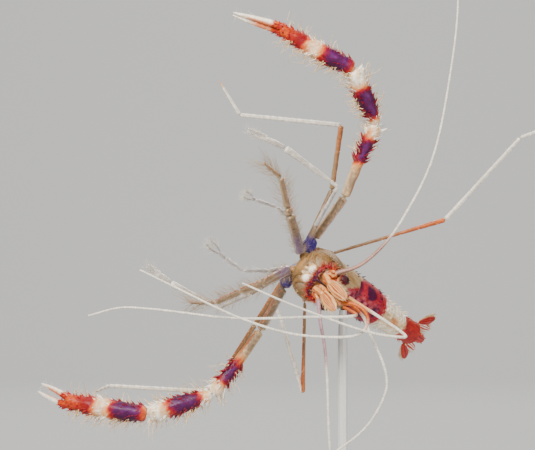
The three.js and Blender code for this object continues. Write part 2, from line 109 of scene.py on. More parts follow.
HEAD_DROP = math.radians(2)  # how the head dips from facing the camera squarely
HEAD_TURN = math.radians(5.5)
# The back lies to the lower right in the picture, and the animal's right side to the upper right
BACK_WAY = vec(0.8, 0, -0.6)
RIGHT_WAY = vec(0.6, 0, 0.8)
FORWARD = unit(
    vec(0, -1, 0) * math.cos(HEAD_DROP) * math.cos(HEAD_TURN)
    - BACK_WAY * math.sin(HEAD_DROP)
    - RIGHT_WAY * math.sin(HEAD_TURN)
)
DORSAL = unit(BACK_WAY - FORWARD * (BACK_WAY @ FORWARD))
RIGHT = np.cross(FORWARD, DORSAL)


def on_body(points):
    """Places given along the body's own right, forward and dorsal directions."""
    points = np.asarray(points, dtype=float)
    return points[..., 0:1] * RIGHT + points[..., 1:2] * FORWARD + points[..., 2:3] * DORSAL


def curve_through(points, count):
    """A smooth curve through given points, as count evenly spaced places."""
    p = np.asarray(points, dtype=float)
    if len(p) == 2:
        return p[0] + (p[1] - p[0]) * np.linspace(0, 1, count)[:, None]
    p = np.vstack([2 * p[0] - p[1], p, 2 * p[-1] - p[-2]])
    knots = np.concatenate([[0], np.cumsum(np.linalg.norm(np.diff(p, axis=0), axis=1) ** 0.5)])
    fine = []
    for i in range(1, len(p) - 2):
        t0, t1, t2, t3 = knots[i - 1 : i + 3]
        t = np.linspace(t1, t2, 24, endpoint=False)[:, None]
        a1 = (t1 - t) / (t1 - t0) * p[i - 1] + (t - t0) / (t1 - t0) * p[i]
        a2 = (t2 - t) / (t2 - t1) * p[i] + (t - t1) / (t2 - t1) * p[i + 1]
        a3 = (t3 - t) / (t3 - t2) * p[i + 1] + (t - t2) / (t3 - t2) * p[i + 2]
        b1 = (t2 - t) / (t2 - t0) * a1 + (t - t0) / (t2 - t0) * a2
        b2 = (t3 - t) / (t3 - t1) * a2 + (t - t1) / (t3 - t1) * a3
        fine.append((t2 - t) / (t2 - t1) * b1 + (t - t1) / (t2 - t1) * b2)
    fine = np.vstack([*fine, p[-2:-1]])
    return evenly(fine, count)


def evenly(line, count):
    """A line's points moved along it, to be count places at equal steps."""
    run = np.concatenate([[0], np.cumsum(np.linalg.norm(np.diff(line, axis=0), axis=1))])
    places = np.linspace(0, run[-1], count)
    return np.stack([np.interp(places, run, line[:, k]) for k in range(3)], axis=1)


def length_of(line):
    """The length of a line of places."""
    return float(np.linalg.norm(np.diff(line, axis=0), axis=1).sum())


# ---------------------------------------------------------------- meshes
def mesh_object(name, points, quads, tris, material):
    """A smooth mesh object of quads and triangles. Its points are millimetres in the row frame."""
    mesh = bpy.data.meshes.new(name)
    loops = np.concatenate([quads.ravel(), tris.ravel()])
    totals = np.repeat([4, 3], [len(quads), len(tris)])
    mesh.vertices.add(len(points))
    mesh.vertices.foreach_set("co", (points * MM).ravel())
    mesh.loops.add(len(loops))
    mesh.loops.foreach_set("vertex_index", loops)
    mesh.polygons.add(len(totals))
    mesh.polygons.foreach_set("loop_start", np.cumsum(totals) - totals)
    mesh.polygons.foreach_set("loop_total", totals)
    mesh.polygons.foreach_set("use_smooth", np.ones(len(totals), dtype=bool))
    mesh.update(calc_edges=True)
    mesh.materials.append(material)
    obj = bpy.data.objects.new(name, mesh)
    bpy.context.scene.collection.objects.link(obj)
    return obj


class Shape:
    """Points, faces and colours that become one piece of the model."""

    def __init__(self):
        self.points, self.colours, self.uvs, self.quads, self.tris = [], [], [], [], []
        self.count = 0

    def add(self, points, colours, quads, tris=NO_TRIS, uvs=None):
        """Adds faces that number their points from 0. uvs are places on the unwrapped skin."""
        points = points.reshape(-1, 3)
        self.points.append(points)
        self.colours.append(np.broadcast_to(colours.reshape(-1, 3), points.shape))
        self.uvs.append(np.zeros((len(points), 2)) if uvs is None else uvs.reshape(-1, 2))
        self.quads.append(quads + self.count)
        self.tris.append(tris + self.count)
        self.count += len(points)

    def make(self, name, material, slot, nodes=(), coat=False):
        """Turns what was added into a mesh that rides on the model and replaces nodes, if any are named."""
        points, colours, quads, tris = map(np.vstack, (self.points, self.colours, self.quads, self.tris))
        obj = mesh_object(name, points + BODY_CENTRE, quads, tris, material)
        shade = obj.data.color_attributes.new(name="Shade", type="FLOAT_COLOR", domain="POINT")
        shade.data.foreach_set("color", np.insert(np.clip(colours, 0, 1), 3, 1, axis=1).ravel())
        if coat:
            layer = obj.data.uv_layers.new(name="OFBake")
            loops = np.concatenate([quads.ravel(), tris.ravel()])
            layer.data.foreach_set("uv", np.vstack(self.uvs)[loops].ravel())
        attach(obj, "root")
        if nodes:
            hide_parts(*nodes)
        return obj


def grid_quads(rows, columns, closed):
    """Faces of a grid of points, wrapped round its columns where closed."""
    i, j = np.meshgrid(np.arange(rows - 1), np.arange(columns if closed else columns - 1), indexing="ij")
    k = (j + 1) % columns
    corners = (i * columns + j, i * columns + k, (i + 1) * columns + k, (i + 1) * columns + j)
    return np.stack(corners, axis=-1).reshape(-1, 4)


def side_frames(line, reference):
    """A line's own direction and two directions across it at each of its points, without twist."""
    tangents = unit(np.gradient(line, axis=0))
    firsts = [np.asarray(reference, dtype=float)]
    for tangent in tangents:
        firsts.append(unit(firsts[-1] - tangent * (firsts[-1] @ tangent)))
    firsts = np.array(firsts[1:])
    return tangents, firsts, np.cross(tangents, firsts)


def closed(shape, points, ends, colours):
    """A grid of points wrapped round its columns, closed by a fan of triangles at both ends."""
    rows, sides = points.shape[:2]
    j = np.arange(sides)
    k = (j + 1) % sides
    last = (rows - 1) * sides
    head = np.stack([np.full(sides, rows * sides), j, k], axis=1)
    tail = np.stack([np.full(sides, rows * sides + 1), last + k, last + j], axis=1)
    shape.add(np.vstack([points.reshape(-1, 3), ends]), colours, grid_quads(rows, sides, True)[:, ::-1],
              np.vstack([head, tail]))


def sweep(shape, line, radii, colour, sides=16, reference=SIDEWAYS, flat=1.0):
    """A closed round body along a line. radii is (n,) or (n, sides); colour takes (run, turn, points)."""
    line, radii = np.asarray(line, dtype=float), np.asarray(radii, dtype=float)
    rows = len(line)
    angles = np.linspace(0, ROUND, sides, endpoint=False)
    _, first, second = side_frames(line, reference)
    radii = np.broadcast_to(radii[:, None] if radii.ndim == 1 else radii, (rows, sides))
    points = line[:, None] + (
        first[:, None] * (np.cos(angles) * radii)[..., None]
        + second[:, None] * (np.sin(angles) * radii * flat)[..., None]
    )
    run = np.linspace(0, 1, rows)[:, None] * np.ones(sides)
    turn = np.ones(rows)[:, None] * angles
    colours = np.broadcast_to(colour(run, turn, points), (rows, sides, 3)).reshape(-1, 3)
    ends = colours[:sides].mean(0), colours[-sides:].mean(0)
    closed(shape, points, line[[0, -1]], np.vstack([colours, *ends]))
    return shape


def cloth(shape, points, colours, outward):
    """An open grid of points as faces; outward says whether the rows and columns turn that way."""
    quads = grid_quads(*points.shape[:2], False)
    shape.add(points, colours, quads if outward else quads[:, ::-1])


def spikes(shape, roots, ways, across, steps, sides, colours, uvs=None):
    """Many thin pointed tubes at once. steps gives each ring's middles and widths, one for each tube."""
    first = unit(np.cross(ways, across))
    second = np.cross(ways, first)
    angles = np.linspace(0, ROUND, sides, endpoint=False)
    circle = first[:, None] * np.cos(angles)[:, None] + second[:, None] * np.sin(angles)[:, None]
    rings = [middle[:, None] + circle * width[:, None, None] for middle, width in steps]
    points = np.concatenate(rings, axis=1)
    firsts = (np.arange(len(roots)) * points.shape[1])[:, None, None]
    quads = (grid_quads(len(steps), sides, True) + firsts).reshape(-1, 4)[:, ::-1]
    shape.add(points, colours, quads, uvs=uvs)


def thorns(shape, roots, ways, lengths, radii, root_colours, tip_colours, bend=(0, 0, 0)):
    """Many small pointed spines at once."""
    roots = np.asarray(roots, dtype=float).reshape(-1, 3)
    n = len(roots)
    ways = unit(np.broadcast_to(ways, roots.shape))
    lengths, radii = np.broadcast_to(lengths, n), np.broadcast_to(radii, n)
    bend = np.broadcast_to(bend, roots.shape)
    steps, colours = [], []
    for share, width in ((-0.12, 1.15), (0.12, 0.95), (0.4, 0.62), (0.72, 0.32), (1.0, 0.04)):
        middle = roots + ways * (lengths * share)[:, None] + bend * (lengths * max(share, 0) ** 2)[:, None]
        steps.append((middle, radii * width))
        tint = mix(root_colours, tip_colours, np.full(n, smooth(0.05, 0.9, share)))
        colours.append(np.repeat(np.broadcast_to(tint, (n, 3))[:, None], THORN_SIDES, axis=1))
    spikes(shape, roots, ways, vec(0.31, 0.77, 0.55), steps, THORN_SIDES, np.concatenate(colours, axis=1))


def bristles(shape, roots, ways, bends, lengths, radius, colours, places, crook=0.04):
    """Many fine tapering hairs at once. places are their roots on the unwrapped skin, from 0 to 1."""
    draw = np.random.default_rng(shape.count + 17)
    n = len(roots)
    ways = unit(ways)
    steps, patch = [], []
    for share in np.linspace(-0.03, 1, BRISTLE_RINGS):
        middle = roots + ways * (lengths * share)[:, None] + bends * (lengths * max(share, 0) ** 2)[:, None]
        middle = middle + draw.normal(0, crook, (n, 3)) * (lengths * (share > 0))[:, None]
        steps.append((middle, np.full(n, radius * (1 - 0.7 * max(share, 0) ** 2))))
        patch += [(share * PATCH, side / BRISTLE_SIDES * PATCH) for side in range(BRISTLE_SIDES)]
    uvs = np.clip(places, 0, 1)[:, None] * (1 - 2 * PATCH) + PATCH + patch
    colours = np.repeat(np.broadcast_to(colours, (n, 3))[:, None], BRISTLE_RINGS * BRISTLE_SIDES, axis=1)
    spikes(shape, roots, ways, vec(0.21, 0.57, 0.79), steps, BRISTLE_SIDES, colours, uvs)


# ---------------------------------------------------------------- colours, linear
TAN = vec(0.27, 0.14, 0.042)
CREAM = vec(0.74, 0.52, 0.28)
HONEY = vec(0.42, 0.22, 0.075)
WHITE = vec(0.85, 0.79, 0.68)
CRIMSON = vec(0.26, 0.003, 0.01)
SCARLET = vec(0.52, 0.02, 0.006)
PURPLE = vec(0.05, 0.001, 0.03)
MAGENTA = vec(0.34, 0.008, 0.03)
ORANGE = vec(0.62, 0.13, 0.015)
PEACH = vec(0.72, 0.33, 0.11)
# painted highlight colour, laid on the violet claw bands where they face the camera
SHEEN = vec(0.13, 0.02, 0.15)
VIOLET = vec(0.045, 0.018, 0.28)
PALE_BLUE = vec(0.2, 0.23, 0.42)
GLASSY = vec(0.26, 0.17, 0.1)
LILAC = vec(0.46, 0.27, 0.3)
DARK = vec(0.012, 0.003, 0.006)
FLAME = vec(0.6, 0.085, 0.004)


# ---------------------------------------------------------------- materials
class Paint:
    """A material being made. Inputs take a value, or another node's output to be linked."""

    def __init__(self, name):
        self.material = bpy.data.materials.new(name)
        self.material.use_nodes = True
        self.tree = self.material.node_tree

    def skin(self, inputs):
        """Sets the surface's inputs and hands over the finished material."""
        self.fill(self.tree.nodes["Principled BSDF"], inputs)
        return self.material

    def node(self, kind, inputs, **settings):
        """Adds a shader node and hands over its outputs."""
        made = self.tree.nodes.new("ShaderNode" + kind)
        for setting, value in settings.items():
            setattr(made, setting, value)
        self.fill(made, inputs)
        return made.outputs

    def fill(self, node, inputs):
        for name, value in inputs.items():
            if isinstance(value, bpy.types.NodeSocket):
                self.tree.links.new(value, node.inputs[name])
            else:
                node.inputs[name].default_value = value

    def noise(self, size_mm, detail):
        """The model's own coordinates, and a cloudy noise of blotches of about size_mm on them."""
        place = self.node("TexCoord", {})["Object"]
        cloud = self.node("TexNoise", {"Scale": 1 / (size_mm * MM), "Detail": detail, "Vector": place})
        return place, cloud["Fac"]

    def bump(self, height, strength, depth_mm):
        """A surface direction pitted by a height, for a Normal input."""
        inputs = {"Strength": strength, "Distance": depth_mm * MM, "Height": height}
        return self.node("Bump", inputs)["Normal"]


def shell(name, rough, grain, coat, clear=0.0, deep=0.0, gloss=0.35, grain_mm=0.22):
    """A wet shell: its colour comes from the mesh, broken up by fine noise, over a pitted skin."""
    paint = Paint(name)
    shade = paint.node("Attribute", {}, attribute_name="Shade")["Color"]
    place, blotch = paint.noise(0.6, 5)
    level = {"From Min": 0.3, "From Max": 0.7, "To Min": 0.78, "To Max": 1.18, "Value": blotch}
    level = paint.node("MapRange", level)["Result"]
    tint = paint.node("Mix", {"Factor": 1, "A": shade, "B": level}, data_type="RGBA", blend_type="MULTIPLY")
    pits = paint.node("TexVoronoi", {"Scale": 1 / (grain_mm * MM), "Vector": place})
    rougher = paint.node("MapRange", {"To Min": 0.75 * rough, "To Max": 1.3 * rough, "Value": blotch})
    return paint.skin({
        "Base Color": tint["Result"],
        "Normal": paint.bump(pits["Distance"], grain, 0.08),
        "Roughness": rougher["Result"],
        "Coat Weight": coat,
        "Coat Roughness": 0.2,
        "IOR": 1.45,
        "Specular IOR Level": gloss,
        "Transmission Weight": clear,
        "Subsurface Weight": deep,
        "Subsurface Radius": (1.0, 0.6, 0.4),
        "Subsurface Scale": 0.6 * MM,
    })


CLAW_SHELL = shell("claw_shell", rough=0.42, grain=0.45, deep=0.08, coat=0.02, gloss=0.28)
BODY_SHELL = shell("body_shell", rough=0.42, grain=0.4, deep=0.05, coat=0.04, gloss=0.24)
GLASS_LIMB = shell("glass_limb", rough=0.3, grain=0.25, clear=0.35, deep=0.15, coat=0.06)
MILKY_LIMB = shell("milky_limb", rough=0.3, grain=0.2, clear=0.08, deep=0.2, coat=0.1)
FACE_SHELL = shell("face_shell", rough=0.36, grain=0.45, deep=0.1, coat=0.1)
THREAD = shell("feeler_shell", rough=0.4, grain=0.3, deep=0.1, coat=0.1)
BRISTLE = shell("bristle", rough=0.45, grain=0.0, deep=0.0, coat=0.0)
EYE_MATERIAL = shell("eye_shell", rough=0.42, grain=0.5, coat=0.05, gloss=0.25, grain_mm=0.12)


# ---------------------------------------------------------------- feelers
# The places that each feeler runs through, from its root to its tip
ANTENNA_ROUTES = {
    "right": [
        (3.4, -8.6, 0.5), (7.7, -9.5, 2), (12.4, -10, 6.1), (16.1, -10, 11.4), (21.2, -9, 21.7),
        (24.7, -7, 37.7), (26.3, -5, 51.9), (25.4, -2, 66), (21, 2, 79),
    ],
    "left": [
        (-0.1, -8.9, -4.5), (0.2, -10, -8.2), (1, -10.5, -12.9), (1.5, -10.5, -18.5), (2.1, -10, -32.5),
        (3.6, -8, -41.5), (9.5, -4, -48), (20, 4, -50.5), (33, 13, -50), (43, 20, -47),
    ],
}
LOWER_OUTER = [
    (4.6, -11.7, -5.7), (6.9, -12.6, -7.2), (5.6, -13.4, -7.5), (-1.7, -13.6, -7.6), (-15.6, -14, -7.8),
    (-31.4, -13, -6.1), (-37, -12.5, -5.9), (-43, -12, -7.4),
]
LOWER_INNER = [
    (4.6, -12.2, -5), (7, -13.8, -5.4), (8.5, -14.5, -6.6), (9, -14.6, -8.4), (8.2, -14.6, -10.1),
    (6.2, -14.6, -11.1), (2, -14.4, -11.3), (-5.4, -15, -10.6), (-14.7, -15.8, -7.7), (-26.7, -16, -2),
    (-33.2, -16, 1.2),
]
UPPER_OUTER = [
    (5.5, -11.5, -4.1), (10.4, -12.5, -7.1), (16.1, -13, -11.2), (14.9, -13.9, -11.3), (9.4, -15.2, -10.4),
    (-0.8, -16.8, -6.9), (-7.3, -17.4, -4.3), (-14.3, -17.4, -1.2),
]
UPPER_INNER = [
    (5.1, -11, -4.6), (8.2, -11.4, -7.5), (9.3, -11.8, -10.2), (12.3, -12, -17.5), (12.5, -12, -21.2),
    (9.1, -12, -27.7), (3.5, -12, -32.4), (-3.5, -12, -36.5), (-11, -11, -38.5),
]
RING_MM = 0.5  # one joint of a feeler


def feeler(name, route, root_radius, tip_radius, root_colour, reach, nodes):
    """A tapering thread of many short rings. reach is how far its root colour runs, in millimetres."""
    length = length_of(curve_through(route, 400))
    line = curve_through(route, int(length / RING_MM * 4))
    t = np.linspace(0, 1, len(line))
    radii = root_radius + (tip_radius - root_radius) * t**0.8 + 0.14 * np.exp(-t * length / (0.35 * reach))
    radii = radii * (1 + 0.035 * np.cos(t * length / RING_MM * ROUND))

    def colour(run, turn, points):
        rich = root_colour * (0.75 + 0.5 * np.cos(turn * 2) ** 2)[..., None]
        pale = mix(rich, WHITE, smooth(0.6 * reach, reach, run * length))
        joint = 0.5 + 0.5 * np.cos(run * length / RING_MM * ROUND)
        return pale * (0.82 + 0.18 * joint)[..., None] * (0.9 + 0.15 * ripple(points, 2.5, 3))[..., None]

    shape = sweep(Shape(), line, radii, colour, sides=8)
    shape.make(name, THREAD, "feeler", nodes)


def make_feelers():
    """The two antennae, and the two lashes of each antennule."""
    for side, _ in SIDES:
        nodes = [f"antenna_{side}_1", f"antenna_{side}_2"]
        tint = LILAC if side == "left" else mix(LILAC, TAN * 1.4, 0.5)
        feeler(f"skin_antenna_{side}", ANTENNA_ROUTES[side], 0.3, 0.16, tint, 16, nodes)
    feeler("skin_antennule_left_outer", LOWER_OUTER, 0.32, 0.18, ORANGE, 4.2, ["antennule_left_outer"])
    feeler("skin_antennule_left_inner", LOWER_INNER, 0.33, 0.18, ORANGE, 9.5,
           ["antennule_left_inner_1", "antennule_left_inner_2"])
    feeler("skin_antennule_right_outer", UPPER_OUTER, 0.34, 0.18, PEACH, 6,
           ["antennule_right_outer_1", "antennule_right_outer_2"])
    feeler("skin_antennule_right_inner", UPPER_INNER, 0.32, 0.2, ORANGE, 5, ["antennule_right_inner"])


# ---------------------------------------------------------------- legs
def socket(way, forward):
    """Where a leg joins the breastplate."""
    return on_body([way * 1.75, forward, -4.9])


# The joints of each leg from its first one out to its tip; each leg starts at its socket
MAXILLIPED_JOINTS = {
    "right": [(-5.4, -8.5, 11.4), (-5.9, -9, 12.7), (-7.1, -10, 18.3), (-10.4, -10, 21.1)],
    "left": [(-10.6, -8, -1.6), (-14.7, -9, -3), (-19.4, -10, -5.1), (-24.1, -10, -5.1)],
}
FIRST_LEG_JOINTS = {
    "right": [(-5, -6, 10.4), (-8, -7, 12.9), (-11.9, -7.5, 14.2), (-13.9, -8, 15.3)],
    "left": [(-9.5, -6, 0.9), (-14.2, -7, 0.9), (-17.6, -8, 3.3), (-20.7, -9, 6.3)],
}
SECOND_LEG_JOINTS = {
    "right": [(-0.6, -2.5, 9.2), (3.7, -3, 16.7), (-6.3, -5, 24), (-13.3, -6, 27.4)],
    "left": [(-12.9, -3.4, -3.5), (-18.9, -4.4, -6.2), (-27.9, -6, -1.4), (-32.2, -7, 1.8)],
}
CLAW_JOINTS = {
    "right": [(-0.6, -0.2, 7), (5.1, -0.5, 14.8), (11, -2, 28.6), (6.6, -7, 38.8), (-7.4, -8, 46.4),
              (-16.1, -8, 49.1)],
    "left": [(-6.5, -0.2, -2.5), (-11, -0.5, -10.6), (-20.1, -1.5, -22.5), (-32.4, -2, -26.3),
             (-48.2, 2.6, -24), (-53.5, 8.2, -21.8)],
}
FOURTH_LEG_JOINTS = {
    "right": [(2.7, 3.5, 16.2), (4.5, 4, 28.6), (-14.9, 2, 30.5), (-18.8, 1, 36.9)],
    "left": [(-12, 4, -9.6), (-20.2, 5, -22.5), (-40, 5, -21.3), (-42.8, 9, -22.7)],
}
FIFTH_LEG_JOINTS = {
    "right": [(3.1, 8, 4.1), (24.6, 8, 10.5), (38.9, 6, 26.2), (46.4, 5, 29.2)],
    "left": [(-2.4, 8.4, -5.4), (-2.8, 9, -22.9), (-7, 10, -8.8), (-9.1, 10, -4)],
}


def article_radii(t, start, middle, end, length):
    """A limb piece's radius along its length: rounded ends with a slight collar at each joint."""
    body = start + (middle - start) * smooth(0, 0.5, t) + (end - middle) * smooth(0.5, 1, t)
    near, far = t * length / start, (1 - t) * length / end
    collar = 0.1 * (spot(near, 0, 0.9) + spot(far, 0, 0.9))
    return (body + collar * body) * dome(near / 0.75, 0.02) * dome(far / 0.75, 0.02)


def ease(start, end, bow):
    """A nearly straight run from start to end, bowed a little to one side."""
    start, end = np.asarray(start, dtype=float), np.asarray(end, dtype=float)
    length = np.linalg.norm(end - start)
    t = np.linspace(0, 1, max(14, int(length / 0.28)))
    aside = unit(np.cross(end - start, vec(0, 1, 0.2)))
    bowed = aside * (bow * length * np.sin(math.pi * t))[:, None]
    return start + (end - start) * t[:, None] + bowed, t, length


def article(shape, start, end, radii, colour, sides=14, bow=0.0, lumps=0.04, flat=1.0, seed=1):
    """One length of a limb, with faint ribs. Returns its line and radii, which hairs and thorn_row take."""
    line, t, length = ease(start, end, bow)
    angles = np.linspace(0, ROUND, sides, endpoint=False)
    profile = article_radii(t, *radii, length)
    wave = np.sin(3 * angles + seed) * np.sin(2.1 * t * length + seed)[:, None]
    ribs = 1 + lumps * wave + 0.5 * lumps * np.cos(6 * angles)
    sweep(shape, line, profile[:, None] * ribs, colour, sides=sides, flat=flat)
    return line, profile


def around(limb, sunk, shares, angles):
    """Places and outward directions on a swept limb's skin, sunk in to a share of its radius."""
    line, profile = limb[0], limb[1] * sunk
    tangents, first, second = side_frames(line, SIDEWAYS)
    spots = shares * (len(line) - 1)
    low = np.clip(spots.astype(int), 0, len(line) - 2)
    f = (spots - low)[:, None]
    at = line[low] * (1 - f) + line[low + 1] * f
    radius = profile[low] * (1 - f[:, 0]) + profile[low + 1] * f[:, 0]
    outward = first[low] * np.cos(angles)[:, None] + second[low] * np.sin(angles)[:, None]
    return at + outward * radius[:, None], outward, tangents[low]


def limb_colours(base, edge, joint):
    """A see-through limb: greyish, warmer along its two edges and paler at its joints."""

    def colour(run, turn, points):
        side = np.sin(turn)
        pale = spot(run, 0, 0.05) + spot(run, 1, 0.05)
        tint = mix(base, edge, smooth(0.55, 0.95, side))
        tint = mix(tint, joint, np.clip(0.7 * smooth(0.6, 0.95, -side) + 0.7 * pale, 0, 1))
        tint = mix(tint, joint, 0.35 * smooth(0.55, 0.75, ripple(points, 0.5, 3)))
        return tint * (0.85 + 0.3 * ripple(points, 1.8, 8))[..., None]

    return colour


def hairs(coat, limb, count, lengths, spread, seed, radius, lean=0.5, tint=WHITE, span=(0, 1),
          angles=None, where=0.0, crook=0.04):
    """Bristles scattered over a swept limb, leaning towards its tip.

    span is the part of its length that they grow on, angles their rows round it, and where is the place
    of the limb on the coat's unwrapped skin.
    """
    draw = np.random.default_rng(seed)
    shares = draw.uniform(*span, count)
    if angles is None:
        turns = draw.uniform(0, ROUND, count)
    else:
        turns = draw.choice(angles, count) + draw.normal(0, 0.25, count)
    roots, outward, along = around(limb, 0.95, shares, turns)
    ways = outward + along * lean + draw.normal(0, spread, (count, 3))
    bends = along * draw.uniform(0.0, 0.5, count)[:, None] + draw.normal(0, 0.12, (count, 3))
    size = draw.uniform(*lengths, count)
    shade = tint * draw.uniform(0.75, 1.08, count)[:, None]
    places = np.stack([where + 0.12 * shares, (turns / ROUND) % 1], axis=1)
    bristles(coat, roots, ways, bends, size, radius, shade, places, crook)


def thorn_row(shape, limb, size, root, tip, turns, count, span=(0.1, 0.92), lean=0.9, seed=0, jitter=0.0):
    """Rows of forward-leaning spines along a swept limb, one row for each of turns."""
    draw = np.random.default_rng(seed + 77)
    for turn in turns:
        shares = np.linspace(*span, count) + draw.uniform(-1, 1, count) * jitter * (span[1] - span[0]) / count
        angles = turn + draw.normal(0, 0.5 * jitter, count)
        roots, outward, along = around(limb, 0.93, np.clip(shares, 0, 1), angles)
        ways = outward + along * lean
        lengths = size * draw.uniform(0.7, 1.2, count)
        tints = [tint(shares) if callable(tint) else tint for tint in (root, tip)]
        thorns(shape, roots, ways, lengths, 0.24 * lengths + 0.03, *tints, bend=along * 0.25)


def make_skin(shape, node, material, slot, coat=None):
    """Makes the skin that replaces a CAD node, and its coat of bristles if it has one."""
    shape.make(f"skin_{node}", material, slot, [node])
    if coat:
        coat.make(f"fringe_{node}", BRISTLE, slot, coat=True)


def make_maxillipeds():
    """The pair beside the mouth: the thickest bristles, and a violet length next to the body."""
    widths = [(0.85, 0.85, 0.8), (0.78, 0.72, 0.6), (0.58, 0.52, 0.42), (0.4, 0.28, 0.1)]
    fringe = [0.25, math.pi / 2, math.pi / 2, -math.pi / 2, -math.pi / 2, math.pi - 0.25]
    brown = limb_colours(vec(0.23, 0.14, 0.075), ORANGE * 0.6, CREAM * 0.7)
    violet = violet_root(0.5)

    def dusky(run, turn, points):
        fade = 0.42 * smooth(0.75, 0.45, run)
        return mix(brown(run, turn, points), violet(run, turn, points), fade) * 0.85

    for side, way in SIDES:
        joints = [socket(way, 5.4), *map(np.array, MAXILLIPED_JOINTS[side])]
        shape, coat = Shape(), Shape()
        for i, radii in enumerate(widths):
            tint = brown if i else dusky
            limb = article(shape, joints[i], joints[i + 1], radii, tint, flat=1.1, seed=i)
            longest = (1.6, 2.2, 3.0, 3.6)[i]
            hairs(coat, limb, int(26 * length_of(limb[0])), (0.5 * longest, longest), 0.14, 40 + i,
                  0.026, (0.35, 0.35, 0.6, 1.0)[i], vec(0.42, 0.3, 0.18), angles=fringe, where=0.2 * i)
            thorn_row(shape, limb, 0.5, ORANGE, CREAM, turns=[1.2], count=5, seed=i)
        make_skin(shape, f"maxilliped_{side}", GLASS_LIMB, "limb_clear", coat)


def pincers(shape, coat, wrist, tip, radius, share, gape, tint, tufts):
    """The hand of a thin clawed leg. share is the palm's part of its length, gape how far it opens."""
    palm_end = wrist + (tip - wrist) * share
    article(shape, wrist, palm_end, (0.8 * radius, radius, 0.8 * radius), tint, flat=0.8)
    aside = unit(np.cross(tip - wrist, vec(0, 1, 0)))
    for way in (1, -1):
        root = palm_end + aside * way * 0.42 * radius - unit(tip - wrist) * 0.3
        end = tip + aside * way * (0.15 + gape)
        middle = (root + end) / 2 + aside * way * (0.12 + 0.3 * gape)
        limb = curve_through([root, middle, end], 20), np.linspace(0.5 * radius, 0.12, 20)
        sweep(shape, *limb, tint, sides=10)
        hairs(coat, limb, tufts, (0.5, 1.5), 0.3, 91 + way, lean=0.9, radius=0.022,
              tint=WHITE * 0.9, span=(0.3, 1))


def violet_root(fade):
    """The blue-violet of the legs next to the body, streaked with lilac; it turns glassy past fade."""

    def colour(run, turn, points):
        tint = mix(VIOLET, PALE_BLUE, 0.4 * smooth(0.35, 0.0, run))
        tint = mix(tint, vec(0.26, 0.18, 0.45), 0.5 * smooth(0.55, 0.75, ripple(points, 0.45, 16)))
        far = run + 0.15 * (ripple(points, 0.5, 4) - 0.5)
        tint = mix(tint, GLASSY, smooth(fade - 0.15, fade + 0.15, far))
        return tint * (0.75 + 0.5 * ripple(points, 0.7, 6))[..., None]

    return colour


def make_thin_clawed_legs():
    """The two slender pairs in front of the great claws, each with small pincers."""
    glassy = limb_colours(vec(0.3, 0.28, 0.28), vec(0.42, 0.33, 0.27), WHITE * 0.9)
    pale = limb_colours(vec(0.42, 0.38, 0.34), WHITE * 1.1, WHITE * 1.1)
    for side, way in SIDES:
        shape, coat = Shape(), Shape()
        joints = [socket(way, 3.5), *map(np.array, FIRST_LEG_JOINTS[side])]
        for i, radii in enumerate([(0.6, 0.5, 0.42), (0.42, 0.36, 0.32), (0.3, 0.34, 0.36)]):
            limb = article(shape, joints[i], joints[i + 1], radii, glassy, seed=i)
            hairs(coat, limb, 34, (0.5, 1.5), 0.3, 50 + i, radius=0.022, where=0.2 * i)
        pincers(shape, coat, joints[3], joints[4], 0.46, 0.4, 0.4, glassy, 80)
        make_skin(shape, f"leg_1_{side}", GLASS_LIMB, "limb_clear", coat)

        shape, coat = Shape(), Shape()
        joints = [socket(way, 1.9), *map(np.array, SECOND_LEG_JOINTS[side])]
        for i, radii in enumerate([(0.7, 0.6, 0.45), (0.42, 0.36, 0.34), (0.34, 0.5, 0.66)]):
            tint = (violet_root(0.6), glassy, pale)[i]
            limb = article(shape, joints[i], joints[i + 1], radii, tint, seed=i)
            hairs(coat, limb, 10, (0.4, 1.2), 0.3, 60 + i, radius=0.02, where=0.2 * i)
        pincers(shape, coat, joints[3], joints[4], 0.72, 0.55, 0.1, pale, 34)
        make_skin(shape, f"leg_2_{side}", MILKY_LIMB, "limb_clear", coat)


